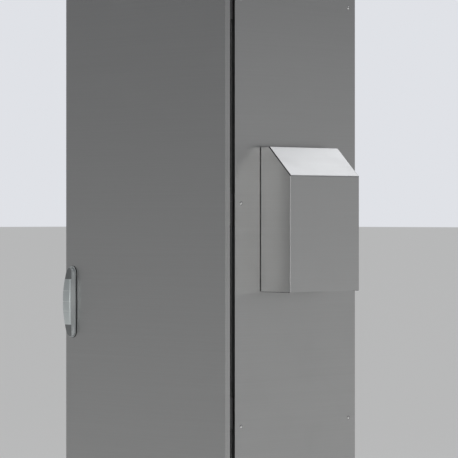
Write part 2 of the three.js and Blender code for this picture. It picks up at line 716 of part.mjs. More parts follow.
/** Fan housing through the panel's window, with spokes that carry the motor and its pin. */
function buildFanHousing(x0, motorEnd) {
  const [y, z] = [hoodMiddleY, fanZ];
  const panelBack = right - panel.sheet - gap;
  const flange = fanHalf + fan.flangeWidth;
  const spokeX = x0 + fan.spokeFromEnd;
  const across = fan.spokeWidth / 2;
  const along = fanBore + fan.wall / 2;
  const outer = join(
    block(x0, right, y - fanHalf, y + fanHalf, z - fanHalf, z + fanHalf),
    block(panelBack - fan.flangeThick, panelBack, y - flange, y + flange, z - flange, z + flange));
  place('fan_housing', join(
    cut(outer, bar(fanBore, 'x', y, z, x0 - past, right + past, 32)),
    block(spokeX, spokeX + fan.spokeThick, y - along, y + along, z - across, z + across),
    block(spokeX, spokeX + fan.spokeThick, y - across, y + across, z - along, z + along),
    bar(fan.motorRadius, 'x', y, z, spokeX, motorEnd),
    bar(fan.pin, 'x', y, z, spokeX + past, motorEnd + fan.pinReach, 12)), darkPlastic);
}

/** Fan rotor: a hub bored for the motor's pin, with twisted blades. */
function buildFanRotor(motorEnd) {
  const [y, z] = [hoodMiddleY, fanZ];
  const { bladeDepth, bladeThick, bladeCount, bladeRoot, bladeInset } = fan;
  const rotorX = motorEnd + fan.rotorClear;
  const rotorEnd = rotorX + bladeDepth;
  const hub = cut(
    bar(fan.hubRadius, 'x', y, z, rotorX, rotorEnd),
    bar(fan.pin + fan.pinClear, 'x', y, z, rotorX - past, rotorEnd - fan.boreShort, 12));
  const chord = bladeDepth / 2 - bladeInset;
  const blades = Array.from({ length: bladeCount }, (_, i) => {
    const blade = block(
      -chord, chord, -bladeThick / 2, bladeThick / 2, fan.hubRadius - bladeRoot, fan.rotorRadius);
    blade.rotateZ(fan.bladeTwist);
    blade.rotateX((2 * Math.PI * i) / bladeCount);
    return blade.translate(rotorX + bladeDepth / 2, y, z);
  });
  place('fan_rotor', join(hub, ...blades), darkPlastic);
}

function buildFan() {
  const x0 = right - panel.sheet - gap - fan.housingDepth;
  const motorEnd = x0 + fan.spokeFromEnd + fan.motorDepth;
  buildFanHousing(x0, motorEnd);
  buildFanRotor(motorEnd);
  const half = fanHalf - fan.filterInset;
  const matX = right + fan.filterClear;
  place('filter_mat', block(
    matX, matX + fan.filterThick, hoodMiddleY - half, hoodMiddleY + half,
    fanZ - half, fanZ + half), filterFleece);
}

// ---------------------------------------------------------------- back plate and switchgear

/** Mounting plate with its long edges folded back for stiffness. */
function buildBackPlate() {
  const half = right - backPlate.fromSide;
  const z0 = base + backPlate.fromBase;
  const z1 = top - backPlate.fromBase;
  const y1 = backPlateFace + backPlate.fold;
  const s = backPlate.sheet;
  place('mounting_plate', cut(
    block(-half, half, backPlateFace, y1, z0, z1),
    block(-half + s, half - s, backPlateFace + s, y1 + past, z0 - past, z1 + past)), galvanised);
}

/** Tray on the mounting plate that carries both switches and the drive. */
function buildTransferChassis() {
  const half = switchX + switchWidth / 2 + transfer.chassisMargin;
  const z0 = transfer.middle - transfer.chassisHeight / 2;
  const z1 = transfer.middle + transfer.chassisHeight / 2;
  const s = transfer.chassisSheet;
  place('transfer_chassis', cut(
    block(-half, half, chassisFace, backPlateFace - gap, z0, z1),
    block(-half + s, half - s, chassisFace + s, backPlateFace + past, z0 - past, z1 + past)), galvanised);
}

/** Middle of each pole, about a switch's middle. */
function polePlaces(x) {
  return Array.from(
    { length: poles.count }, (_, pole) => x + (pole - (poles.count - 1) / 2) * poles.pitch);
}

/** Depth of a load bar's front face, one pole behind the next so that the bars pass each other. */
function barDepth(pole) {
  return chassisFace - switchDepth + poles.firstBar + pole * poles.stagger;
}

/** Hollow case of one three-pole switch, with a terminal well for each pole. */
function buildSwitchCase(name, x, side) {
  const half = switchWidth / 2;
  const w = transfer.wall;
  const back = chassisFace - gap;
  const clear = gap * 2;
  const innerSide = x - side * half;
  const [h0, h1] = [innerSide - side * past, innerSide + side * (w + past)];
  const shaftHole = bar(
    drive.shaft + drive.shaftClear, 'x', shaftY, transfer.middle, Math.min(h0, h1), Math.max(h0, h1), 16);
  const wellHalf = poles.barWidth / 2 + well.side;
  const wells = polePlaces(x).map((px) => block(
    px - wellHalf, px + wellHalf, switchFace - past, switchFace + well.depth,
    switchTop - well.height, switchTop + past));
  const barHalf = poles.barWidth / 2 + clear;
  const barHoles = polePlaces(x).map((px, pole) => block(
    px - barHalf, px + barHalf, barDepth(pole) - clear, barDepth(pole) + poles.barThick + clear,
    switchBottom - past, switchBottom + w + past));
  place(name, cut(
    block(x - half, x + half, switchFace, back, switchBottom, switchTop),
    block(x - half + w, x + half - w, switchFace - past, back - w, switchBottom + w, coverTop),
    shaftHole, ...wells, ...barHoles), darkPlastic);
}

/** Arc cover over a switch case's open front, with vents above each pole. */
function buildArcCover(name, x) {
  const half = switchWidth / 2;
  const y1 = switchFace - gap;
  const y0 = y1 - transfer.cover;
  const vents = polePlaces(x).flatMap((px) => Array.from({ length: vent.rows }, (_, row) => {
    const z = coverTop - vent.fromTop - row * vent.pitch;
    return block(
      px - vent.halfWidth, px + vent.halfWidth, y0 - past, y1 + past,
      z - vent.halfHeight, z + vent.halfHeight);
  }));
  place(name, cut(block(x - half, x + half, y0, y1, switchBottom, coverTop), ...vents), greyPlastic);
}

/** One switch: its case, its arc cover and the contact carrier that slides inside. */
function buildSwitch(prefix, side) {
  const x = side * switchX;
  buildSwitchCase(`${prefix}_switch_case`, x, side);
  buildArcCover(`${prefix}_arc_cover`, x);
  const half = switchWidth / 2 - transfer.wall - runningGap - carrier.side;
  const y0 = shaftY - carrierForward;
  place(`${prefix}_contact_carrier`, block(
    x - half, x + half, y0, y0 + carrier.depth,
    transfer.middle - carrier.height / 2, transfer.middle + carrier.height / 2), redPlastic);
}

/** Load bar: one copper strip that joins the same pole of both switches and ends in a palm. */
function buildLoadBar(pole) {
  const [fromX, toX] = [polePlaces(-switchX)[pole], polePlaces(switchX)[pole]];
  const px = polePlaces(0)[pole];
  const y0 = barDepth(pole);
  const y1 = y0 + poles.barThick;
  const topZ = switchBottom + transfer.wall;
  const z1 = topZ - poles.firstDrop - pole * poles.drop;
  const z0 = z1 - poles.barWidth;
  const half = poles.barWidth / 2;
  place(`load_bar_${pole + 1}`, join(
    block(fromX - half, toX + half, y0, y1, z0, z1),
    block(fromX - half, fromX + half, y0, y1, z0 + past, topZ),
    block(toX - half, toX + half, y0, y1, z0 + past, topZ),
    block(px - half, px + half, y0, y1, z0 - poles.palm, z0 + past)), copper);
}

/** Drive case between the switches, slotted for the hand lever. */
function buildDriveCase() {
  const half = transfer.driveWidth / 2;
  const z0 = transfer.middle - transfer.driveHeight / 2;
  const z1 = transfer.middle + transfer.driveHeight / 2;
  const back = chassisFace - gap;
  const face = back - transfer.driveDepth;
  const slot = drive.slot / 2;
  place('drive_case', cut(
    block(-half, half, face, back, z0, z1),
    bar(drive.shaft + drive.shaftClear, 'x', shaftY, transfer.middle, -half - past, half + past, 16),
    block(
      -slot, slot, face - past, shaftY + drive.slotBehind,
      transfer.middle - drive.slotHalfHeight, transfer.middle + drive.slotHalfHeight)), greyPlastic);
}

/** Shaft through both switches with its boss and cranks, and the hand lever on the boss. */
function buildDriveShaft() {
  const m = transfer.middle;
  const shaftEnd = switchX - switchWidth / 2 + transfer.wall + drive.shaftInto;
  const bossHalf = drive.slot / 2 - drive.bossClear;
  const cranks = [-1, 1].map((side) => {
    const centre = side * (shaftEnd - drive.crankFromEnd - drive.crankWidth / 2);
    return block(
      centre - drive.crankWidth / 2, centre + drive.crankWidth / 2, shaftY - drive.crank, shaftY,
      m - drive.crankHalf, m + drive.crankHalf);
  });
  place('drive_shaft', join(
    bar(drive.shaft, 'x', shaftY, m, -shaftEnd, shaftEnd, 16),
    bar(drive.boss, 'x', shaftY, m, -bossHalf, bossHalf),
    ...cranks), galvanised);

  const start = shaftY - drive.boss - gap;
  const end = start - drive.lever;
  const thick = drive.leverHalfThick;
  place('hand_lever', join(
    block(-drive.leverHalf, drive.leverHalf, end, start, m - thick, m + thick),
    bar(drive.knob, 'y', 0, m, end - drive.knobLength, end + past)), redPlastic);
}

/** Controller on the mounting plate, with a window for its display and two sprung buttons. */
function buildController() {
  const half = controller.width / 2;
  const w = controller.wall;
  const z0 = transfer.middle + controller.above - controller.height / 2;
  const z1 = z0 + controller.height;
  const zc = (z0 + z1) / 2;
  const back = backPlateFace - gap;
  const face = back - controller.depth;
  const buttonZ = z0 + controller.buttonAbove;
  const buttons = [['test_button', greenPlastic], ['reset_button', redPlastic]]
    .map(([name, look], i) => ({
      name, look, x: half - controller.buttonFromSide - i * controller.buttonPitch,
    }));
  const holes = buttons.map(({ x }) => bar(
    controller.button + runningGap, 'y', x, buttonZ, face - past, face + w + past));
  place('controller_case', cut(
    block(-half, half, face, back, z0, z1),
    block(-half + w, half - w, face + w, back + past, z0 + w, z1 - w),
    block(
      -half + controller.windowLeft, half - controller.windowRight,
      face - past, face + controller.windowDepth,
      zc - controller.windowBelow, z1 - controller.windowTop),
    ...holes), lightPlastic);
  const buttonFace = face - controller.travel - past;
  buttons.forEach(({ name, look, x }) => place(
    name, bar(controller.button, 'y', x, buttonZ, buttonFace, buttonFace + controller.buttonLength), look));
}

/** Earth bar on two feet low on the mounting plate. */
function buildEarthBar() {
  const half = earthBar.width / 2;
  const z0 = base + backPlate.fromBase + earthBar.above;
  const z1 = z0 + earthBar.height;
  const back = backPlateFace - gap;
  const y1 = back - earthBar.standoff;
  const y0 = y1 - earthBar.thick;
  const { footHalf, footShort, holes, holePitch } = earthBar;
  const feet = [-1, 1].map((side) => {
    const x = side * (half - earthBar.footFromEnd);
    return block(x - footHalf, x + footHalf, y1 - past, back, z0 + footShort, z1 - footShort);
  });
  const bores = Array.from({ length: holes }, (_, i) => {
    const x = (i - (holes - 1) / 2) * holePitch;
    return bar(earthBar.holeRadius, 'y', x, (z0 + z1) / 2, y0 - past, y1 + past, 12);
  });
  place('earth_bar', cut(join(block(-half, half, y0, y1, z0, z1), ...feet), ...bores), copper);
}

// ---------------------------------------------------------------- the whole object

buildPlinth();
buildRings();
buildUpright('upright_front_right', true, true);
buildUpright('upright_front_left', false, true);
buildUpright('upright_rear_right', true, false);
buildUpright('upright_rear_left', false, false);
buildSidePanel('side_panel_right', 1);
buildSidePanel('side_panel_left', -1);
buildRearPanel();
buildRoof();
buildGlandPlate();
['gland_normal', 'gland_load', 'gland_emergency'].forEach((name, i) => buildGland(name, i - 1));

buildDoor();
buildDoorGasket();
buildStiffener('door_stiffener_left', -1);
buildStiffener('door_stiffener_right', 1);
buildPocket();
buildHinges();

buildHandleBase();
buildHandleHub();
buildHandleLever();
buildHandleGrip();
buildLockBarrel();
buildLockGearbox();
buildLockRod('lock_rod_upper', 1);
buildLockRod('lock_rod_lower', -1);

buildHood();
buildHoodScreen();
buildFan();

buildBackPlate();
buildTransferChassis();
buildSwitch('normal', -1);
buildSwitch('emergency', 1);
buildDriveCase();
buildDriveShaft();
for (let pole = 0; pole < poles.count; pole += 1) {
  buildLoadBar(pole);
}
buildController();
buildEarthBar();

export default assembly;
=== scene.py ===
"""A free-standing stainless-steel transfer switch cabinet, dressed for a soft studio.

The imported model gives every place. Each sub-assembly is a class that models its pieces on the
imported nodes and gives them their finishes; main() builds the classes in order.
"""

import json
import logging
import math
from dataclasses import dataclass
from enum import Enum
from itertools import product
from typing import Callable, Iterable, Mapping, Optional, Union

import bmesh
import bpy
from mathutils import Matrix, Vector


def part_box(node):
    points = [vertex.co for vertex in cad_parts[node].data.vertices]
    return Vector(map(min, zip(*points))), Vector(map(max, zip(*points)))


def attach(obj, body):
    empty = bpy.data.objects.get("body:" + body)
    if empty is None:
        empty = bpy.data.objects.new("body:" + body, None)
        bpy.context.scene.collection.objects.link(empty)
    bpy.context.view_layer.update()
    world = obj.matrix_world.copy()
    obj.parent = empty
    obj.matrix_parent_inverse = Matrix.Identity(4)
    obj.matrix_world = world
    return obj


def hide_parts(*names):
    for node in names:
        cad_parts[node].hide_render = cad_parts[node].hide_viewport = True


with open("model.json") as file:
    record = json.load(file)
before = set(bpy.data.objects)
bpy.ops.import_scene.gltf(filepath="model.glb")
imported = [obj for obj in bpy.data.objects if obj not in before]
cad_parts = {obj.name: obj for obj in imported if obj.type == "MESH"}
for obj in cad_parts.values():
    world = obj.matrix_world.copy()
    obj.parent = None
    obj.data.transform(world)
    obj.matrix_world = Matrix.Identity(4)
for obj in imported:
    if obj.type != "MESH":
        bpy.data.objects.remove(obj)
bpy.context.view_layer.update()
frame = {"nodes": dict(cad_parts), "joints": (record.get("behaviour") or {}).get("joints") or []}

LOG = logging.getLogger("transfer_switch")
MM = 0.001
FLAT_SHADING = 34.0  # degrees between faces up to which a sheet or casting is shaded smoothly
BOWED_SHADING = 50.0  # the same for the handle's bowed faces
WIRE_SHADING = 60.0  # the same for round wires
SHARP_EDGE = 32.0  # degrees between faces from which an edge is softened
COPLANAR = 0.5  # degrees between faces that are joined up as one
MERGE = 0.01 * MM  # how near to each other points are one point
FACING = 0.9  # how far along a direction a face's normal has to point to count as facing it
SQUARE_ON = 0.95  # the same for a face that lies square on to it
X, Y, Z = range(3)
FIELD = 400.0  # metres of floor, and how far the camera sees

Edge = bmesh.types.BMEdge
Face = bmesh.types.BMFace
EdgeTest = Callable[[Edge], bool]
FaceTest = Callable[[Face], bool]
Socket = bpy.types.NodeSocket
Sockets = Mapping[str, Socket]
Pair = tuple[float, float]
Colour = tuple[float, float, float]
Value = Union[float, tuple, Socket]


# ---------------------------------------------------------------- shader wiring


class Wiring:
    """Adds and links the nodes of one shader tree."""

    MIX_INPUTS = (0, 6, 7)  # a colour mix's amount and its two colours
    MIX_OUTPUT = 2

    def __init__(self, tree: bpy.types.NodeTree) -> None:
        """Keeps the tree to work on."""
        self.tree = tree

    def feed(self, socket: Socket, value: Value) -> None:
        """Sets an input, or links it where the value is a socket.

        Args:
            socket: The input.
            value: A number, a colour or another node's output.
        """
        if isinstance(value, Socket):
            self.tree.links.new(value, socket)
        else:
            socket.default_value = value

    def node(self, kind: str, **values: object) -> bpy.types.Node:
        """Adds a node.

        Args:
            kind: The node's type, without the leading ShaderNode.
            values: Attributes of the node, or values of its inputs by name, with _ for a space.

        Returns:
            The new node.
        """
        made = self.tree.nodes.new(f"ShaderNode{kind}")
        for key, value in values.items():
            if hasattr(made, key):
                setattr(made, key, value)
            else:
                self.feed(made.inputs[key.replace("_", " ")], value)
        return made

    def place(self) -> Socket:
        """Returns the surface's Object coordinates."""
        return self.node("TexCoord").outputs["Object"]

    def math(self, operation: str, first: Value, second: Value) -> Socket:
        """Adds a math node.

        Args:
            operation: The node's operation, such as MULTIPLY.
            first: Its first value.
            second: Its second value.

        Returns:
            The result's socket.
        """
        made = self.node("Math", operation=operation)
        for socket, value in zip(made.inputs, (first, second)):
            self.feed(socket, value)
        return made.outputs[0]

    def blend(self, amount: Value, first: Value, second: Value) -> Socket:
        """Mixes two colours.

        Args:
            amount: How much of the second.
            first: A colour.
            second: A colour.

        Returns:
            The mixed colour's socket.
        """
        made = self.node("Mix", data_type="RGBA")
        for index, value in zip(self.MIX_INPUTS, (amount, first, second)):
            self.feed(made.inputs[index], value)
        return made.outputs[self.MIX_OUTPUT]

    def spread(self, value: Socket, low: float, high: float) -> Socket:
        """Returns a value mapped from 0..1 to low..high."""
        return self.node("MapRange", Value=value, To_Min=low, To_Max=high).outputs[0]

    def window(self, value: Socket, low: float, high: float) -> Socket:
        """Returns a value mapped from low..high to 0..1."""
        return self.node("MapRange", Value=value, From_Min=low, From_Max=high).outputs[0]


def wire_grain(wires: Wiring, given: Sockets) -> tuple[Socket, ...]:
    """Wires drawn grain: long fine lines, with how fine they are along each axis.

    Args:
        wires: The group's wiring.
        given: Its inputs X, Y and Z.

    Returns:
        Lines and Bands.
    """
    parts = wires.node("SeparateXYZ", Vector=wires.place()).outputs
    axes = {axis: wires.math("MULTIPLY", parts[axis], given[axis]) for axis in "XYZ"}
    stretched = wires.node("CombineXYZ", **axes).outputs[0]
    fine = wires.node("TexNoise", Vector=stretched, Scale=1.0, Detail=3.0, Roughness=0.65)
    broad = wires.node("TexNoise", Vector=stretched, Scale=0.11, Detail=2.0, Roughness=0.5)
    return fine.outputs[0], broad.outputs[0]


def wire_marks(wires: Wiring, given: Sockets) -> tuple[Socket, ...]:
    """Wires soft handling marks: broad clouds and faint smears.

    Args:
        wires: The group's wiring.
        given: Its input Scale.

    Returns:
        Clouds and Smears.
    """
    place, close = wires.place(), wires.math("MULTIPLY", given["Scale"], 4.5)
    clouds = wires.node("TexNoise", Vector=place, Scale=given["Scale"], Detail=4.0, Roughness=0.55)
    smears = wires.node(
        "TexNoise", Vector=place, Scale=close, Detail=5.0, Roughness=0.6, Distortion=0.8
    )
    return clouds.outputs[0], wires.window(smears.outputs[0], 0.52, 0.74)


def wire_peel(wires: Wiring, given: Sockets) -> tuple[Socket, ...]:
    """Wires the fine dimples of a coated or moulded surface.

    Args:
        wires: The group's wiring.
        given: Its input Scale.

    Returns:
        Dimples and Specks.
    """
    place = wires.place()
    dimples = wires.node("TexNoise", Vector=place, Scale=given["Scale"], Detail=2.0)
    cells = wires.node("TexVoronoi", Vector=place, Scale=given["Scale"])
    return dimples.outputs[0], wires.window(cells.outputs["Distance"], 0.0, 0.7)


def wire_wear(wires: Wiring, given: Sockets) -> tuple[Socket, ...]:
    """Wires edge wear: a mask that is strong along edges and broken up by noise.

    Args:
        wires: The group's wiring.
        given: Its input Radius.

    Returns:
        Mask.
    """
    rounded = wires.node("Bevel", samples=4, Radius=given["Radius"])
    straight = wires.node("NewGeometry").outputs["Normal"]
    likeness = wires.node("VectorMath", operation="DOT_PRODUCT")
    wires.feed(likeness.inputs[0], rounded.outputs[0])
    wires.feed(likeness.inputs[1], straight)
    bend = wires.math("SUBTRACT", 1.0, likeness.outputs["Value"])
    noise = wires.node("TexNoise", Vector=wires.place(), Scale=180.0, Detail=3.0)
    broken = wires.spread(noise.outputs[0], 0.2, 1.4)
    strong = wires.math("MULTIPLY", wires.math("MULTIPLY", bend, 6.0), broken)
    return (wires.math("MINIMUM", strong, 1.0),)


class Effect(Enum):
    """The surface effects that several finishes share, each a node group built once.

    Each has the group's name, its inputs with their defaults, its outputs and what wires it.
    """

    GRAIN = ("drawn_grain", {"X": 2.0, "Y": 2.0, "Z": 700.0}, ("Lines", "Bands"), wire_grain)
    MARKS = ("soft_marks", {"Scale": 3.0}, ("Clouds", "Smears"), wire_marks)
    PEEL = ("coat_peel", {"Scale": 600.0}, ("Dimples", "Specks"), wire_peel)
    WEAR = ("edge_wear", {"Radius": 0.0015}, ("Mask",), wire_wear)

    def group(self) -> bpy.types.NodeTree:
        """Finds the effect's node group, and builds it the first time.

        Returns:
            The group.
        """
        name, inputs, outputs, wire = self.value
        tree = bpy.data.node_groups.get(name)
        if tree:
            return tree
        tree = bpy.data.node_groups.new(name, "ShaderNodeTree")
        for key, value in inputs.items():
            socket = tree.interface.new_socket(key, in_out="INPUT", socket_type="NodeSocketFloat")
            socket.default_value = value
        for key in outputs:
            tree.interface.new_socket(key, in_out="OUTPUT", socket_type="NodeSocketFloat")
        wires, given = Wiring(tree), tree.nodes.new("NodeGroupInput").outputs
        result = tree.nodes.new("NodeGroupOutput")
        for key, socket in zip(outputs, wire(wires, given)):
            wires.feed(result.inputs[key], socket)
        return tree

    def on(self, wires: Wiring, **values: float) -> Sockets:
        """Puts the effect in a material.

        Args:
            wires: The material's wiring.
            values: The group's input values.

        Returns:
            The group node's outputs.
        """
        return wires.node("Group", node_tree=self.group(), **values).outputs


# ---------------------------------------------------------------- finishes


@dataclass(frozen=True)
class Finish:
    """A surface in layers: a pattern in its colour, clouds over it, rubbed edges, a fine relief.

    Attributes:
        slot: The record's material slot that it belongs to.
        tones: What the pattern's 0 and 1 become, as shares of the colour.
        marks: The scale of the handling marks.
        clouds: How strong the clouds are at most, and their share of the colour.
        tarnish: What the clouds do to each of the colour's channels.
        rub_radius: How wide the rubbed edges are, in metres; 0 for none.
        rub: How strong the rubbed edges are, and their share of the colour.
        uneven: What the pattern adds to the roughness, at least and at most.
        smears: What the smears add to the roughness.
        depth: The relief's height in metres.
    """

    name: str
    colour: Colour
    roughness: float
    metallic: float
    slot: str
    tones: Pair = (0.95, 1.05)
    marks: float = 9.0
    clouds: Pair = (0.3, 0.86)
    tarnish: Colour = (1.0, 1.0, 1.0)
    rub_radius: float = 0.0
    rub: Pair = (0.25, 1.3)
    uneven: Pair = (0.0, 0.1)
    smears: float = 0.0
    depth: float = 4e-5
    coat: float = 0.0
    coat_roughness: float = 0.03
    sheen: float = 0.0

    def pattern(self, wires: Wiring, marks: Sockets) -> tuple[Socket, Socket, Socket]:
        """Wires the surface's own pattern; each kind of finish has its own.

        Args:
            wires: The material's wiring.
            marks: The handling marks, Clouds and Smears.

        Returns:
            What shows in the colour, what shows in the roughness, and the relief from 0 to 1.
        """
        raise NotImplementedError

    def tone(self, share: float, tint: Colour = (1.0, 1.0, 1.0)) -> tuple[float, ...]:
        """Returns the colour with its brightness scaled and tinted, and an alpha of one."""
        return (*(part * tinted * share for part, tinted in zip(self.colour, tint)), 1.0)

    def material(self) -> bpy.types.Material:
        """Finds the finish's material, and builds it the first time.

        Returns:
            The material.
        """
        made = bpy.data.materials.get(self.name)
        if not made:
            made = bpy.data.materials.new(self.name)
            made.use_nodes = True
            made.node_tree.nodes.clear()
            self.wire(Wiring(made.node_tree))
        return made

    def wire(self, wires: Wiring) -> None:
        """Wires the layers into a shader.

        Args:
            wires: The material's wiring.
        """
        marks = Effect.MARKS.on(wires, Scale=self.marks)
        shown, varied, relief = self.pattern(wires, marks)
        strength, share = self.clouds
        surface = wires.blend(shown, *map(self.tone, self.tones))
        clouded = wires.spread(marks["Clouds"], 0.0, strength)
        surface = wires.blend(clouded, surface, self.tone(share, self.tarnish))
        if self.rub_radius:
            edges = Effect.WEAR.on(wires, Radius=self.rub_radius)["Mask"]
            rubbed = wires.math("MULTIPLY", edges, self.rub[0])
            surface = wires.blend(rubbed, surface, self.tone(self.rub[1]))
        rough = wires.spread(varied, *(self.roughness + added for added in self.uneven))
        if self.smears:
            smeared = wires.math("MULTIPLY", marks["Smears"], self.smears)
            rough = wires.math("ADD", rough, smeared)
        bump = wires.node("Bump", Height=relief, Strength=1.0, Distance=self.depth)
        shader = wires.node(
            "BsdfPrincipled", Base_Color=surface, Roughness=rough, Normal=bump.outputs[0],
            Metallic=self.metallic, Coat_Weight=self.coat, Coat_Roughness=self.coat_roughness,
            Sheen_Weight=self.sheen,
        )
        wires.node("OutputMaterial", Surface=shader.outputs[0])


class Grain(Enum):
    """Which way the drawn lines of a sheet or bar run, as how fine they are along X, Y and Z."""

    LEVEL = (2.5, 2.5, 900.0)
    ACROSS = (2.5, 900.0, 900.0)
    BAR = (30.0, 900.0, 300.0)


@dataclass(frozen=True)
class DrawnSteel(Finish):
    """Stainless sheet with fine drawn lines, faint bands and soft handling marks."""

    tones: Pair = (0.93, 1.07)
    marks: float = 2.2
    clouds: Pair = (0.22, 0.9)
    rub_radius: float = 0.0012
    rub: Pair = (0.35, 1.5)
    uneven: Pair = (-0.04, 0.05)
    smears: float = 0.035
    depth: float = 6e-6
    grain: Grain = Grain.LEVEL

    def pattern(self, wires: Wiring, marks: Sockets) -> tuple[Socket, Socket, Socket]:
        """Returns lines for colour and relief, and bands for the roughness."""
        drawn = Effect.GRAIN.on(wires, **dict(zip("XYZ", self.grain.value)))
        return drawn["Lines"], drawn["Bands"], drawn["Lines"]


@dataclass(frozen=True)
class BareCopper(Finish):
    """Drawn copper bar, darker where it was handled."""

    tones: Pair = (0.9, 1.1)
    marks: float = 16.0
    clouds: Pair = (0.55, 1.0)
    tarnish: Colour = (0.55, 0.5, 0.6)
    uneven: Pair = (0.0, 0.18)
    depth: float = 2e-5

    def pattern(self, wires: Wiring, marks: Sockets) -> tuple[Socket, Socket, Socket]:
        """Returns drawing lines for colour and relief, and smears for the roughness."""
        drawn = Effect.GRAIN.on(wires, **dict(zip("XYZ", Grain.BAR.value)))
        return drawn["Lines"], marks["Smears"], drawn["Lines"]


@dataclass(frozen=True)
class ZincSheet(Finish):
    """Zinc-coated sheet with a faint spangle and dull patches."""

    tones: Pair = (0.88, 1.1)
    marks: float = 6.0
    clouds: Pair = (0.4, 0.82)
    rub_radius: float = 0.001
    rub: Pair = (0.3, 1.3)
    uneven: Pair = (-0.06, 0.08)
    depth: float = 1.5e-4
    crystals: float = 95.0

    def pattern(self, wires: Wiring, marks: Sockets) -> tuple[Socket, Socket, Socket]:
        """Returns crystal cells for colour and roughness, and clouds for the relief."""
        cells = wires.node("TexVoronoi", Vector=wires.place(), Scale=self.crystals).outputs
        parts = wires.node("SeparateColor", Color=cells["Color"]).outputs
        return parts[0], parts[1], marks["Clouds"]


@dataclass(frozen=True)
class Coated(Finish):
    """Powder-coated or painted metal with a fine peel, edges rubbed lighter."""

    tones: Pair = (0.94, 1.06)
    rub_radius: float = 0.0012
    rub: Pair = (0.35, 1.45)
    peel: float = 700.0

    def pattern(self, wires: Wiring, marks: Sockets) -> tuple[Socket, Socket, Socket]:
        """Returns dimples for colour and relief, and smears for the roughness."""
        dimples = Effect.PEEL.on(wires, Scale=self.peel)["Dimples"]
        return dimples, marks["Smears"], dimples


@dataclass(frozen=True)
class Moulded(Finish):
    """Moulded plastic with a spark-eroded texture and slight unevenness."""

    marks: float = 12.0
    clouds: Pair = (0.25, 0.9)
    rub_radius: float = 0.0008
    uneven: Pair = (-0.03, 0.07)
    depth: float = 3e-5
    coat_roughness: float = 0.22
    texture: float = 1100.0

    def pattern(self, wires: Wiring, marks: Sockets) -> tuple[Socket, Socket, Socket]:
        """Returns specks for colour and relief, and smears for the roughness."""
        specks = Effect.PEEL.on(wires, Scale=self.texture)["Specks"]
        return specks, marks["Smears"], specks


@dataclass(frozen=True)
class DisplayGlass(Moulded):
    """The dark window of the controller's display, unlit: a faint dot grid under a clear coat."""

    tones: Pair = (1.2, 0.8)
    marks: float = 20.0
    clouds: Pair = (0.2, 1.5)
    rub_radius: float = 0.0
    uneven: Pair = (0.0, 0.08)
    depth: float = 1e-6
    coat: float = 1.0
    coat_roughness: float = 0.06
    texture: float = 1500.0


@dataclass(frozen=True)
class Soft(Finish):
    """Foam or fleece: an open, uneven surface with pores or loose fibres."""

    tones: Pair = (1.15, 0.7)
    marks: float = 14.0
    clouds: Pair = (0.4, 0.85)
    uneven: Pair = (-0.05, 0.05)
    depth: float = 4e-4
    sheen: float = 0.15
    pores: float = 420.0

    def pattern(self, wires: Wiring, marks: Sockets) -> tuple[Socket, Socket, Socket]:
        """Returns pores for the colour, clouds for the roughness and dimples for the relief."""
        open_face = Effect.PEEL.on(wires, Scale=self.pores)
        return open_face["Specks"], marks["Clouds"], open_face["Dimples"]


GRAINED = "stainless_grained"
CAST = "handle_casting"
ZINCED = "galvanised_steel"
DARK = "dark_moulding"
STEEL_GREY = (0.50, 0.50, 0.495)

SHEET = DrawnSteel("drawn_stainless", STEEL_GREY, 0.36, 1.0, GRAINED)
SHEET_FLAT = DrawnSteel("drawn_stainless_flat", STEEL_GREY, 0.36, 1.0, GRAINED, grain=Grain.ACROSS)
# painted light: a slightly lighter and glossier copy of the drawn stainless for the hood, standing
# in for the light that the side panel reflects onto it
HOOD_SHEET_LIGHTER = DrawnSteel("hood_stainless_lighter", (0.52, 0.52, 0.515), 0.34, 1.0, GRAINED)
SCREW_STEEL = DrawnSteel(
    "bright_screw_steel", (0.8, 0.8, 0.79), 0.25, 1.0, GRAINED, grain=Grain.ACROSS
)
ZINC = ZincSheet("zinc_coated_sheet", (0.42, 0.43, 0.43), 0.42, 1.0, ZINCED)
HANDLE_COAT = Coated("handle_satin_coat", (0.60, 0.63, 0.63), 0.34, 0.45, CAST, coat=0.2)
HANDLE_CAP = Coated("handle_end_coat", (0.22, 0.23, 0.23), 0.42, 0.25, CAST, coat=0.1)
HINGE_CAST = Coated(
    "hinge_dull_casting", (0.075, 0.075, 0.075), 0.5, 0.5, "hinge_casting", peel=500.0
)
PLINTH_COAT = Coated(
    "plinth_powder_coat", (0.045, 0.046, 0.05), 0.55, 0.0, "plinth_paint", peel=450.0, depth=9e-5
)
GRIP_PLASTIC = Moulded(
    "grip_moulding", (0.69, 0.74, 0.735), 0.4, 0.62, "handle_grip",
    texture=1400.0, depth=4e-6, coat=1.0,
)
# painted highlight: the grip's grooved lines are painted lighter than the grip, standing in for
# the light that they catch
GRIP_LINE_HIGHLIGHT = Moulded(
    "grip_line_highlight", (0.78, 0.82, 0.81), 0.4, 0.0, "handle_grip", texture=900.0, depth=1.5e-5
)
DARK_MOULDING = Moulded("dark_case_moulding", (0.035, 0.036, 0.04), 0.45, 0.0, DARK)
GREY_MOULDING = Moulded("grey_case_moulding", (0.25, 0.26, 0.26), 0.42, 0.0, "grey_moulding")
LIGHT_MOULDING = Moulded("light_case_moulding", (0.6, 0.6, 0.57), 0.42, 0.0, "light_moulding")
RED_MOULDING = Moulded("red_knob_moulding", (0.5, 0.035, 0.025), 0.32, 0.0, "red_moulding")
GREEN_MOULDING = Moulded("green_knob_moulding", (0.04, 0.3, 0.1), 0.32, 0.0, "green_moulding")
DISPLAY = DisplayGlass("display_window", (0.03, 0.05, 0.045), 0.12, 0.0, DARK)
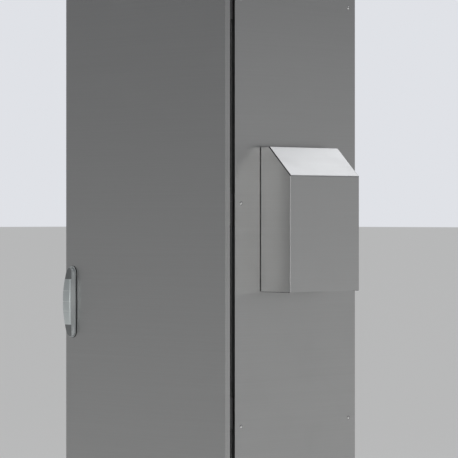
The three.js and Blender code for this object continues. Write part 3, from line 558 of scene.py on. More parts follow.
# black foam for the real seals and gaskets, also used as painted shade: the ring round each screw
# head, the strips under the hood's side sheets, the hood's roof bends (a painted dark reflection)
# and the handle gasket's lip
SEAL_FOAM_AND_PAINTED_SHADE = Soft("black_seal_foam_and_painted_shade", (0.018, 0.018, 0.018), 0.85, 0.0, "seal_foam")
FLEECE = Soft(
    "filter_fleece_white", (0.72, 0.72, 0.69), 0.92, 0.0, "filter_fleece", pores=260.0, depth=9e-4
)
COPPER = BareCopper("bare_copper_bar", (0.78, 0.42, 0.26), 0.3, 1.0, "copper_bar")


# ---------------------------------------------------------------- modelling by hand


def near(value: float, target: float, slack: float = 0.02 * MM) -> bool:
    """Returns whether a value is at a target, within a small slack."""
    return abs(value - target) < slack


def box_of(node: str) -> tuple[Vector, Vector]:
    """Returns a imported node's lowest and highest corners."""
    low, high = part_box(node)
    return Vector(low), Vector(high)


def on_plane(edge: Edge, axis: int, value: float) -> bool:
    """Returns whether both ends of an edge lie on a plane across an axis."""
    return all(near(corner.co[axis], value) for corner in edge.verts)


def run(edge: Edge, axis: int) -> float:
    """Returns how far an edge runs along an axis."""
    return abs(edge.verts[0].co[axis] - edge.verts[1].co[axis])


def clear_selection() -> None:
    """Leaves edit mode and deselects everything."""
    if bpy.context.mode != "OBJECT":
        bpy.ops.object.mode_set(mode="OBJECT")
    bpy.ops.object.select_all(action="DESELECT")


class Workpiece:
    """One mesh on the bench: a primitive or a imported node's copy, shaped by edit-mode tools.

    The shaping methods return the workpiece itself.
    """

    def __init__(self, piece: bpy.types.Object, name: str) -> None:
        """Names the piece and keeps it."""
        self.piece = piece
        piece.name = piece.data.name = name

    @classmethod
    def from_primitive(cls, name: str, add: Callable[..., set], **values: object) -> "Workpiece":
        """Adds a primitive, with its place applied to its mesh.

        Args:
            name: The piece's name.
            add: The operator that adds it.
            values: The operator's settings.

        Returns:
            The workpiece.
        """
        clear_selection()
        add(**values)
        bpy.ops.object.transform_apply(location=True, rotation=True, scale=True)
        return cls(bpy.context.active_object, name)

    @classmethod
    def block(cls, name: str, low: Vector, high: Vector) -> "Workpiece":
        """Returns a new block between its lowest and highest corners."""
        add, middle = bpy.ops.mesh.primitive_cube_add, (low + high) / 2
        return cls.from_primitive(name, add, size=1.0, location=middle, scale=high - low)

    @classmethod
    def round_bar(
        cls, name: str, radius: float, start: Vector, end: Vector, sides: int = 48
    ) -> "Workpiece":
        """Adds a round bar between two points.

        Args:
            name: The piece's name.
            radius: Its radius.
            start: The middle of one end.
            end: The middle of the other end.
            sides: How many sides it has.

        Returns:
            The workpiece.
        """
        way = end - start
        return cls.from_primitive(
            name, bpy.ops.mesh.primitive_cylinder_add, vertices=sides, radius=radius,
            depth=way.length, location=(start + end) / 2,
            rotation=way.to_track_quat("Z", "Y").to_euler(),
        )

    @classmethod
    def from_mesh(cls, name: str, mesh: bpy.types.Mesh) -> "Workpiece":
        """Puts a mesh in the scene as a new piece.

        Args:
            name: The piece's name.
            mesh: Its mesh.

        Returns:
            The workpiece.
        """
        piece = bpy.data.objects.new(name, mesh)
        bpy.context.scene.collection.objects.link(piece)
        return cls(piece, name)

    @classmethod
    def from_node(cls, node: str, name: str) -> "Workpiece":
        """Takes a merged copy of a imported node, with flat faces joined up.

        Args:
            node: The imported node's name.
            name: The piece's name.

        Returns:
            The workpiece.
        """
        clear_selection()
        mesh = frame["nodes"][node].data.copy()
        mesh.materials.clear()
        made = cls.from_mesh(name, mesh)
        made.open_whole()
        bpy.ops.mesh.remove_doubles(threshold=MERGE)
        bpy.ops.mesh.dissolve_limited(angle_limit=math.radians(COPLANAR))
        bpy.ops.object.mode_set(mode="OBJECT")
        return made

    def activate(self) -> None:
        """Makes this the one selected and active piece."""
        clear_selection()
        self.piece.select_set(True)
        bpy.context.view_layer.objects.active = self.piece

    def open_whole(self) -> None:
        """Opens the piece in edit mode with all of it selected."""
        self.activate()
        bpy.ops.object.mode_set(mode="EDIT")
        bpy.ops.mesh.select_all(action="SELECT")

    def pick(self, faces: Optional[FaceTest] = None, edges: Optional[EdgeTest] = None) -> int:
        """Opens the piece in edit mode with only the faces or edges selected that pass a test.

        Args:
            faces: Says of each face whether it is picked.
            edges: Says of each edge whether it is picked.

        Returns:
            How many were picked.
        """
        self.open_whole()
        bpy.ops.mesh.select_mode(type="FACE" if faces else "EDGE")
        bpy.ops.mesh.select_all(action="DESELECT")
        mesh = bmesh.from_edit_mesh(self.piece.data)
        picked = [item for item in (mesh.faces if faces else mesh.edges) if (faces or edges)(item)]
        for item in picked:
            item.select_set(True)
        mesh.select_flush_mode()
        bmesh.update_edit_mesh(self.piece.data)
        return len(picked)

    def shape(
        self,
        tool: Callable[..., set],
        faces: Optional[FaceTest] = None,
        edges: Optional[EdgeTest] = None,
        **values: object,
    ) -> "Workpiece":
        """Uses one edit-mode tool on the picked faces or edges, if there are any.

        Args:
            tool: The tool's operator.
            faces: Says of each face whether it is picked.
            edges: Says of each edge whether it is picked.
            values: The tool's settings.

        Returns:
            The workpiece.
        """
        if self.pick(faces, edges):
            tool(**values)
        bpy.ops.object.mode_set(mode="OBJECT")
        return self

    def round_edges(self, test: EdgeTest, width: float, segments: int = 4) -> "Workpiece":
        """Rounds the picked edges to a width, with a number of facets."""
        bevel = {"offset": width, "segments": segments, "affect": "EDGES", "clamp_overlap": True}
        return self.shape(bpy.ops.mesh.bevel, edges=test, **bevel)

    def sink(self, test: FaceTest, margin: float, depth: float) -> "Workpiece":
        """Insets the picked faces by a margin and pushes them in; a depth below 0 raises them."""
        inset = {"thickness": margin, "depth": -depth, "use_boundary": True}
        return self.shape(bpy.ops.mesh.inset, faces=test, **inset)

    def shift(self, test: EdgeTest, way: Vector) -> "Workpiece":
        """Moves the picked edges."""
        return self.shape(bpy.ops.transform.translate, edges=test, value=way)

    def dress(self, finish: Finish) -> "Workpiece":
        """Adds a finish; the first one is on every face that isn't given another."""
        self.piece.data.materials.append(finish.material())
        return self

    def paint_faces(self, test: FaceTest, finish: Finish) -> "Workpiece":
        """Gives the picked faces a further finish.

        Args:
            test: Says of each face whether it is picked.
            finish: The finish of those faces.

        Returns:
            The workpiece.
        """
        self.dress(finish)
        self.piece.active_material_index = len(self.piece.data.materials) - 1
        return self.shape(bpy.ops.object.material_slot_assign, faces=test)

    def split(self, point: Vector, normal: Vector, away: bool = False) -> "Workpiece":
        """Cuts an edge loop round the whole piece along a plane.

        Args:
            point: A point on the plane.
            normal: The plane's normal.
            away: Whether the part that the normal points to is cut off and the cut is closed.

        Returns:
            The workpiece.
        """
        self.open_whole()
        bpy.ops.mesh.bisect(plane_co=point, plane_no=normal, clear_outer=away, use_fill=away)
        bpy.ops.object.mode_set(mode="OBJECT")
        return self

    def modify(self, name: str, kind: str, **values: object) -> "Workpiece":
        """Adds a modifier and applies it.

        Args:
            name: The modifier's name.
            kind: Its type.
            values: Its settings.

        Returns:
            The workpiece.
        """
        self.activate()
        added = self.piece.modifiers.new(name, kind)
        for key, value in values.items():
            setattr(added, key, value)
        bpy.ops.object.modifier_apply(modifier=added.name)
        return self

    def bore(self, radius: float, start: Vector, end: Vector) -> "Workpiece":
        """Drills a round hole.

        Args:
            radius: The hole's radius.
            start: A point on its axis before the piece.
            end: A point on its axis behind the piece.

        Returns:
            The workpiece.
        """
        drill = Workpiece.round_bar("drill", radius, start, end).piece
        self.modify("bored_hole", "BOOLEAN", operation="DIFFERENCE", object=drill)
        bpy.data.objects.remove(drill)
        return self

    def soften(self, width: float, segments: int = 2) -> "Workpiece":
        """Breaks every sharp edge with a small rounding of a width and a number of facets."""
        sharp = {"limit_method": "ANGLE", "angle_limit": math.radians(SHARP_EDGE)}
        return self.modify("softened_edges", "BEVEL", width=width, segments=segments, **sharp)

    def done(
        self,
        body: str,
        finish: Finish,
        replaces: Iterable[str] = (),
        degrees: float = FLAT_SHADING,
        slot: str = "",
    ) -> bpy.types.Object:
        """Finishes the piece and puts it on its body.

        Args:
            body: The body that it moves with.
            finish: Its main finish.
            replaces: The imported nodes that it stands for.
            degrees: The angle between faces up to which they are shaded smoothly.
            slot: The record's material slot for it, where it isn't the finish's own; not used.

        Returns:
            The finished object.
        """
        self.activate()
        bpy.ops.object.shade_smooth_by_angle(angle=math.radians(degrees))
        self.modify("flat_faces_kept", "WEIGHTED_NORMAL", keep_sharp=True)
        if not self.piece.data.materials:
            self.dress(finish)
        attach(self.piece, body)
        if replaces:
            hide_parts(*replaces)
        LOG.info("%s: %d faces, on %s", self.piece.name, len(self.piece.data.polygons), body)
        return self.piece

    def copies(self, places: Iterable[tuple[str, Vector]]) -> list["Workpiece"]:
        """Copies the piece to other places, each copy with its own mesh, and removes the pattern.

        Args:
            places: Each copy's name and how far it is moved.

        Returns:
            The copies.
        """
        made = []
        for name, offset in places:
            mesh = self.piece.data.copy()
            mesh.transform(Matrix.Translation(offset))
            made.append(Workpiece.from_mesh(name, mesh))
        bpy.data.objects.remove(self.piece)
        return made


# ---------------------------------------------------------------- sub-assemblies


@dataclass
class PackedPieces:
    """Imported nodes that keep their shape, and get softened edges and one finish."""

    nodes: str  # their names, with a space between them
    body: str
    finish: Finish
    soften: float = 0.8 * MM
    segments: int = 3
    slot: str = ""  # where it isn't the finish's own

    def build(self) -> None:
        """Models a softened copy of each node."""
        for node in self.nodes.split():
            work = Workpiece.from_node(node, f"{node}_finished").soften(self.soften, self.segments)
            work.done(self.body, self.finish, replaces=(node,), slot=self.slot)


@dataclass
class Skin:
    """A folded sheet panel, with a face along an axis; its bends and cut edges are rounded."""

    node: str
    body: str
    out_axis: int
    out_side: int  # 1 for the axis's high end, -1 for its low end
    finish: Finish = SHEET
    bend: float = 2.4 * MM
    corner: float = 0.8 * MM

    def build(self) -> None:
        """Models the panel."""
        ends = box_of(self.node)
        face = ends[self.out_side > 0][self.out_axis]
        others = [axis for axis in (X, Y, Z) if axis != self.out_axis]

        def rims(edge: Edge) -> list[bool]:
            """Returns for both axes along the face whether an edge lies on its rim."""
            return [any(on_plane(edge, axis, end[axis]) for end in ends) for axis in others]

        def is_bend(edge: Edge) -> bool:
            """Returns whether an edge is one of the face's own bends."""
            return any(rims(edge)) and on_plane(edge, self.out_axis, face)

        work = Workpiece.from_node(self.node, f"{self.node}_sheet")
        work.round_edges(lambda edge: all(rims(edge)), self.corner, 3)
        work.round_edges(is_bend, self.bend, 5).soften(0.25 * MM, 1)
        work.done(self.body, self.finish, replaces=(self.node,))


def build_all(*parts: Union[PackedPieces, Skin]) -> None:
    """Builds parts in their order."""
    for part in parts:
        part.build()


@dataclass
class ScrewSet:
    """Domed socket screws, modelled once and copied; every size goes with the head's radius."""

    head: float = 5.0 * MM
    body: str = "cabinet"
    sunk: float = 0.24
    proud: float = 0.05
    # the seat's width, in head radii; the seat is painted black as the shade of a countersink
    seat: float = 0.08
    seat_height: float = 1.05  # as a share of how proud the rim is
    socket: float = 0.24
    socket_depth: float = 0.16
    socket_taper: float = 0.02
    dome: tuple[Pair, ...] = ((0.10, 0.09), (0.16, 0.07), (0.24, 0.04))  # in and up, per step
    sides: int = 24

    def build(self, name: str, places: list[Vector], out: Vector) -> None:
        """Models the screws.

        Args:
            name: The first part of each screw's name.
            places: Where each head's middle is on the surface.
            out: The direction out of the surface.
        """
        first, size = places[0], self.head
        foot, rim = first - out * self.sunk * size, first + out * self.proud * size
        work = Workpiece.round_bar("screw_pattern", size, foot, rim, self.sides)

        def is_end(face: Face) -> bool:
            """Returns whether a face is the head's outermost one."""
            return face.normal.dot(out) > FACING and len(face.verts) == self.sides

        def is_shaded_seat(face: Face) -> bool:
            """Returns whether a face belongs to the seat round the head, painted black as a ring
            of shade.
            """
            away = face.calc_center_median() - first
            height = away.dot(out)
            aside = (away - out * height).length
            low_down = height < self.proud * size * self.seat_height
            return low_down and aside > size * (1 - self.seat)

        work.sink(is_end, self.seat * size, self.proud * size)
        for margin, rise in self.dome:
            work.sink(is_end, margin * size, -rise * size)
        flat = 1 - self.seat - sum(margin for margin, _ in self.dome)
        work.sink(is_end, (flat - self.socket) * size, 0.0)
        work.sink(is_end, self.socket_taper * size, self.socket_depth * size)
        # painted shade: the seat round each head gets the black foam, a dark ring standing in for
        # the shade of a countersink
        work.dress(SCREW_STEEL).paint_faces(is_shaded_seat, SEAL_FOAM_AND_PAINTED_SHADE)
        named = [(f"{name}_{i + 1}", place - first) for i, place in enumerate(places)]
        for screw in work.copies(named):
            screw.done(self.body, SCREW_STEEL)

    def build_corners(self, node: str, axis: int, side: int, inset: float) -> None:
        """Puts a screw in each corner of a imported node's face.

        Args:
            node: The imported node.
            axis: The axis that the face looks along.
            side: 1 for the face at its high end, -1 for the low end.
            inset: How far each screw is from the face's edges.
        """
        low, high = box_of(node)
        out = Vector([side if i == axis else 0 for i in (X, Y, Z)])
        across, up = [i for i in (X, Y, Z) if i != axis]
        places = []
        for ends in product(*((low[i] + inset, high[i] - inset) for i in (across, up))):
            place = Vector(high if side > 0 else low)
            place[across], place[up] = ends
            places.append(place)
        self.build(f"{node}_screw", places, out)


@dataclass
class Carcass:
    """Plinth, frame and outer panels."""

    screw_rows: tuple[float, ...] = (1.799, 1.274, 0.702, 0.177)
    from_front: float = 58 * MM
    from_rear: float = 27 * MM
    rear_inset: float = 30 * MM
    roof_bolt: float = 12 * MM
    roof_inset: float = 45 * MM

    def build(self) -> None:
        """Models and dresses the carcass."""
        uprights = "upright_front_right upright_front_left upright_rear_right upright_rear_left"
        build_all(
            PackedPieces("plinth", "cabinet", PLINTH_COAT, 0.9 * MM),
            PackedPieces(
                f"base_frame top_frame {uprights} gland_plate", "cabinet", ZINC, 0.5 * MM, 2
            ),
            PackedPieces("gland_normal gland_load gland_emergency", "cabinet", GREY_MOULDING),
            Skin("side_panel_right", "cabinet", X, 1),
            Skin("side_panel_left", "cabinet", X, -1),
            Skin("rear_panel", "cabinet", Y, 1),
            Skin("roof_plate", "cabinet", Z, 1, SHEET_FLAT),
        )
        self.build_screws()

    def build_screws(self) -> None:
        """Puts screws along the edges of the side and rear panels, and bolts on the roof."""
        front, rear = box_of("door_panel")[0].y, box_of("rear_panel")[1].y
        hood_low, hood_high = box_of("hood_shell")
        columns = (front + self.from_front, rear - self.from_rear)
        for side, node in ((1, "side_panel_right"), (-1, "side_panel_left")):
            x = box_of(node)[side > 0].x
            places = [
                Vector((x, y, z))
                for y, z in product(columns, self.screw_rows)
                if not (side > 0 and hood_low.y < y < hood_high.y and hood_low.z < z < hood_high.z)
            ]
            ScrewSet().build(f"{node}_screw", places, Vector((side, 0, 0)))
        low, high = box_of("rear_panel")
        columns = (low.x + self.rear_inset, high.x - self.rear_inset)
        places = [Vector((x, high.y, z)) for x, z in product(columns, self.screw_rows)]
        ScrewSet().build("rear_panel_screw", places, Vector((0, 1, 0)))
        bolts = ScrewSet(self.roof_bolt, socket=0.4, socket_depth=0.3)
        bolts.build_corners("roof_plate", Z, 1, self.roof_inset)


@dataclass
class DoorLeaf:
    """The door: its folded sheet, gasket, stiffeners, pocket and hinges."""

    hinge_count: int = 4
    bend: float = 2.6 * MM

    def build(self) -> None:
        """Models and dresses the door."""
        build_all(
            Skin("door_panel", "door", Y, -1, bend=self.bend),
            PackedPieces("door_gasket", "door", SEAL_FOAM_AND_PAINTED_SHADE, 2.0 * MM),
            PackedPieces("door_stiffener_left door_stiffener_right", "door", ZINC, 0.5 * MM, 2),
            PackedPieces("document_pocket", "door", LIGHT_MOULDING),
        )
        for number in range(1, self.hinge_count + 1):
            build_all(
                PackedPieces(f"hinge_leaf_{number}", "cabinet", HINGE_CAST, 0.5 * MM),
                PackedPieces(f"hinge_arm_{number}", "door", HINGE_CAST, 0.5 * MM),
            )


@dataclass
class BowedBar:
    """A bar with a spindle-shaped plan whose crest bows out from a flat back.

    Its section is a block with rounded outer edges. The section is extruded up and down from the
    middle, station by station, and drawn in to the plan's width and the crest's height.
    """

    middle: Vector
    length: float
    width: float
    end_width: float
    rise: float
    end_rise: float
    crest_end: float = 15 * MM
    flank: float = 0.70
    flank_pick: float = 0.9  # how far up a flank its crest begins to be picked
    segments: int = 7
    fall_from: float = 0.86  # the share of the half length where the crest falls to the end
    fall: float = 0.75  # of the height's square
    fall_least: float = 0.02  # what is left of it
    stations: tuple[float, ...] = (
        0.12, 0.24, 0.36, 0.48, 0.58, 0.655, 0.72, 0.78, 0.83, 0.875, 0.91, 0.94, 0.962, 0.98,
        0.993,
    )

    def half_width(self, share: float) -> float:
        """Finds half the plan's width.

        Args:
            share: Where, as a share of the half length.

        Returns:
            Half the width there.
        """
        taper = (self.end_width + (self.width - self.end_width) * (1.0 - share * share)) / 2
        round_from = 1.0 - self.end_width / self.length
        beyond = max(0.0, (share - round_from) / (1.0 - round_from))
        return taper * math.sqrt(max(0.0, 1.0 - beyond * beyond))

    def height(self, share: float) -> float:
        """Finds the crest's height over the back.

        Args:
            share: Where, as a share of the half length.

        Returns:
            The height there.
        """
        bowed = self.end_rise + (self.rise - self.end_rise) * (1.0 - share * share)
        end = max(0.0, (share - self.fall_from) / (1.0 - self.fall_from))
        return bowed * math.sqrt(max(self.fall_least, 1.0 - self.fall * end * end))

    def on_crest(self, point: Vector) -> bool:
        """Returns whether a point lies further out than the flanks."""
        share = abs(point.z - self.middle.z) / (self.length / 2)
        return self.middle.y - point.y > self.height(share) * self.flank

    def level(self, station: float, side: int) -> float:
        """Returns the height above the floor of a station on the upper (1) or lower (-1) half."""
        return self.middle.z + side * self.length / 2 * station

    def build(self, name: str) -> Workpiece:
        """Models the bar.

        Args:
            name: The piece's name.

        Returns:
            The workpiece, closed and with its normals outwards.
        """
        first = self.length / 2 * self.stations[0]
        half, rise = self.half_width(0.0), self.height(0.0)
        low = self.middle + Vector((-half, -rise, -first))
        high = self.middle + Vector((half, 0, first))

        def is_outer(edge: Edge) -> bool:
            """Returns whether an edge runs along the bar on its outer side."""
            at_end = on_plane(edge, Z, low.z) or on_plane(edge, Z, high.z)
            return on_plane(edge, Y, low.y) and not at_end

        work = Workpiece.block(name, low, high)
        work.round_edges(is_outer, rise * (1.0 - self.flank), self.segments)
        for side in (1, -1):
            self.draw_end(work, side)
        for station, side in product(self.stations, (1, -1)):
            self.narrow_crest(work, station, side)
        return work

    def narrow_crest(self, work: Workpiece, station: float, side: int) -> None:
        """Draws in the crest of one station, so that the flanks lean in towards the ends.

        Args:
            work: The bar.
            station: The station's share of the half length.
            side: 1 for the upper half, -1 for the lower half.
        """
        here = self.level(station, side)
        depth = self.height(station) * self.flank * self.flank_pick
        narrower = 1.0 + (self.crest_end / self.end_width - 1.0) * station * station

        def is_crest(edge: Edge) -> bool:
            """Returns whether an edge belongs to the station's crest."""
            outer = all(self.middle.y - corner.co.y > depth for corner in edge.verts)
            return outer and on_plane(edge, Z, here)

        work.shape(
            bpy.ops.transform.resize, edges=is_crest, value=(narrower, 1.0, 1.0),
            center_override=(self.middle.x, self.middle.y, here),
        )

    def draw_end(self, work: Workpiece, side: int) -> None:
        """Extrudes one half from station to station.

        Args:
            work: The bar so far.
            side: 1 for the upper half, -1 for the lower half.
        """
        reach = self.level(self.stations[0], side)

        def is_end(face: Face) -> bool:
            """Returns whether a face closes the bar on this side."""
            height = face.calc_center_median().z
            return near(height, reach, 0.1 * MERGE) and face.normal.z * side > FACING

        before = 0.0
        work.pick(faces=is_end)
        for station in self.stations:
            if before:
                step = side * self.length / 2 * (station - before)
                bpy.ops.mesh.extrude_region_move(TRANSFORM_OT_translate={"value": (0, 0, step)})
            wider = self.half_width(station) / self.half_width(before)
            higher = self.height(station) / self.height(before)
            here = (self.middle.x, self.middle.y, self.level(station, side))
            bpy.ops.transform.resize(value=(wider, higher, 1.0), center_override=here)
            before = station
        bpy.ops.object.mode_set(mode="OBJECT")


@dataclass
class SwingHandle:
    """The bowed swing handle with its grip, base plate and key barrel, and the lock it drives."""

    wall: float = 1.8 * MM
    hollow: float = 0.45  # of the height at the ends
    end_width: float = 27 * MM
    end_drop: float = 11 * MM
    gap: float = 0.4 * MM
    heel_clear: float = 2.0 * MM
    heel_spare: float = 4.0  # degrees beyond the lift
    grip_share: float = 0.655
    grip_lean: float = 0.15
    grip_proud: float = 0.25 * MM
    grip_corner: float = 4.0 * MM
    corner_reach: float = 6 * MM
    corner_wall: Pair = (0.8, 1.3)  # the shortest and longest edge through the wall, in walls
    corner_level: float = 0.3 * MM
    corner_angle: float = 0.9  # radians
    groove: float = 0.5 * MM
    grip_lines: tuple[float, ...] = (0.030, 0.001, -0.025)
    line_width: float = 1.5 * MM
    line_depth: float = 0.4 * MM
    line_slope: float = 0.12 * MM
    gasket: float = 1.6 * MM
    lip: float = 0.7 * MM
    clear: float = 0.2 * MM
    end_facets: int = 14

    def build(self) -> None:
        """Models and dresses the handle and the lock behind the door."""
        self.build_base()
        self.build_lever()
        self.build_grip()
        build_all(
            PackedPieces("handle_hub", "turning_hub", HANDLE_CAP, 0.4 * MM),
            PackedPieces("lock_barrel", "key_barrel", SCREW_STEEL, 0.3 * MM, slot=CAST),
            PackedPieces("lock_gearbox", "door", ZINC),
            PackedPieces("lock_rod_upper", "upper_rod", ZINC, 0.5 * MM, 2),
            PackedPieces("lock_rod_lower", "lower_rod", ZINC, 0.5 * MM, 2),
        )

    def bar(self, proud: float = 0.0) -> BowedBar:
        """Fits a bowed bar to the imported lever.

        Args:
            proud: How far it stands out beyond the lever.

        Returns:
            The bar.
        """
        low, high = box_of("handle_lever")
        back = high.y - self.gap
        middle = Vector(((low.x + high.x) / 2, back, (low.z + high.z) / 2))
        width, rise = high.x - low.x + proud, back - low.y + proud
        return BowedBar(middle, high.z - low.z, width, self.end_width, rise, rise - self.end_drop)

    def base_sheet(self, name: str, low: Vector, high: Vector) -> Workpiece:
        """Models a sheet with round ends, bored for the hub's spindle and the key barrel.

        Args:
            name: The piece's name.
            low: Its lowest corner.
            high: Its highest corner.

        Returns:
            The workpiece.
        """

        def is_upright(edge: Edge) -> bool:
            """Returns whether an edge goes through the sheet."""
            return not on_plane(edge, Y, low.y) and not on_plane(edge, Y, high.y)

        sheet = Workpiece.block(name, low, high)
        sheet.round_edges(is_upright, (high.x - low.x) / 2 - MERGE, self.end_facets)
        for node in ("handle_hub", "lock_barrel"):
            inner_low, inner_high = box_of(node)
            middle, radius = (inner_low + inner_high) / 2, (inner_high.x - inner_low.x) / 2
            ends = (Vector((middle.x, y, middle.z)) for y in (low.y - MM, high.y + MM))
            sheet.bore(radius + self.clear, *ends)
        return sheet

    def build_base(self) -> None:
        """Models the base plate with a rounded rim, and the thin gasket that it stands on, whose
        black lip is partly painted shadow.
        """
        low, high = box_of("handle_base")
        seat = high.y - self.gasket
        lip, front = Vector((self.lip, 0, self.lip)), Vector((high.x, seat, high.z))
        plate = self.base_sheet("handle_base_plate", low + lip, front - lip)
        plate.soften(0.6 * MM, 4)
        plate.done("door", HANDLE_COAT, replaces=("handle_base",), degrees=BOWED_SHADING)
        # partly painted shade: the black gasket sticks out past the plate by the lip, a dark line
        # that also stands for the shadow gap under the handle
        gasket = self.base_sheet("handle_base_gasket", Vector((low.x, seat, low.z)), high)
        gasket.soften(0.4 * MM, 2).done("door", SEAL_FOAM_AND_PAINTED_SHADE, degrees=BOWED_SHADING)

    def on_grip(self, bar: BowedBar) -> FaceTest:
        """Finds what the grip covers.

        Args:
            bar: The bar that the grip lies on.

        Returns:
            The test for the faces of its crest that are covered.
        """
        top = bar.length / 2 * self.grip_share

        def test(face: Face) -> bool:
            """Returns whether a face is covered."""
            middle = face.calc_center_median()
            within = abs(middle.z - bar.middle.z) < top
            return within and face.normal.y < -self.grip_lean and bar.on_crest(middle)

        return test

    def build_lever(self) -> None:
        """Models the lever, hollow behind, with a groove round the grip."""
        bar = self.bar()
        top = bar.length / 2 * self.grip_share
        lift = next(joint for joint in frame["joints"] if joint["name"] == "lever_lift")
        heel = Vector((bar.middle.x, bar.middle.y, lift["pos_m"][2] - self.heel_clear))
        lean = math.radians(lift["range_deg"][1] + self.heel_spare)

        def is_cap(face: Face) -> bool:
            """Returns whether a face is crest beyond the grip."""
            middle = face.calc_center_median()
            return abs(middle.z - bar.middle.z) > top and bar.on_crest(middle)

        work = bar.build("handle_lever_shell")
        work.split(heel, Vector((0, math.cos(lean), math.sin(lean))), away=True)
        work.sink(lambda face: face.normal.y > SQUARE_ON, self.wall, bar.end_rise * self.hollow)
        work.sink(self.on_grip(bar), 0.0, self.groove)
        work.dress(HANDLE_COAT).paint_faces(is_cap, HANDLE_CAP).soften(0.25 * MM, 2)
        work.done("lever", HANDLE_COAT, replaces=("handle_lever",), degrees=BOWED_SHADING)

    def build_grip(self) -> None:
        """Models the grip insert: a bowed sheet with rounded corners and three fine lines, painted
        lighter as a highlight.
        """
        bar = self.bar(self.grip_proud)
        top = bar.length / 2 * self.grip_share
        covered, half_line = self.on_grip(bar), self.line_width / 2
        thin, thick = (share * self.wall for share in self.corner_wall)

        def is_line(face: Face) -> bool:
            """Returns whether a face lies in one of the fine lines."""
            height = face.calc_center_median().z - bar.middle.z
            return any(abs(height - line) < half_line for line in self.grip_lines)

        def is_corner(edge: Edge) -> bool:
            """Returns whether an edge goes through the wall at a corner of the grip."""
            at_end = abs(edge.verts[0].co.z - bar.middle.z) > top - self.corner_reach
            through = thin < edge.calc_length() < thick and run(edge, Z) < self.corner_level
            return at_end and through and edge.calc_face_angle(0.0) > self.corner_angle

        work = bar.build("handle_grip_insert")
        work.shape(bpy.ops.mesh.delete, faces=lambda face: not covered(face), type="FACE")
        for line, shift in product(self.grip_lines, (-half_line, half_line)):
            work.split(bar.middle + Vector((0, 0, line + shift)), Vector((0, 0, 1)))
        work.sink(is_line, self.line_slope, self.line_depth)
        # painted highlight: the lines' faces get the lighter moulding
        work.dress(GRIP_PLASTIC).paint_faces(is_line, GRIP_LINE_HIGHLIGHT)
        work.modify("grip_wall", "SOLIDIFY", thickness=self.wall, offset=-1.0)
        work.round_edges(is_corner, self.grip_corner, 4).soften(0.3 * MM, 2)
        work.done("lever", GRIP_PLASTIC, replaces=("handle_grip",), degrees=BOWED_SHADING)


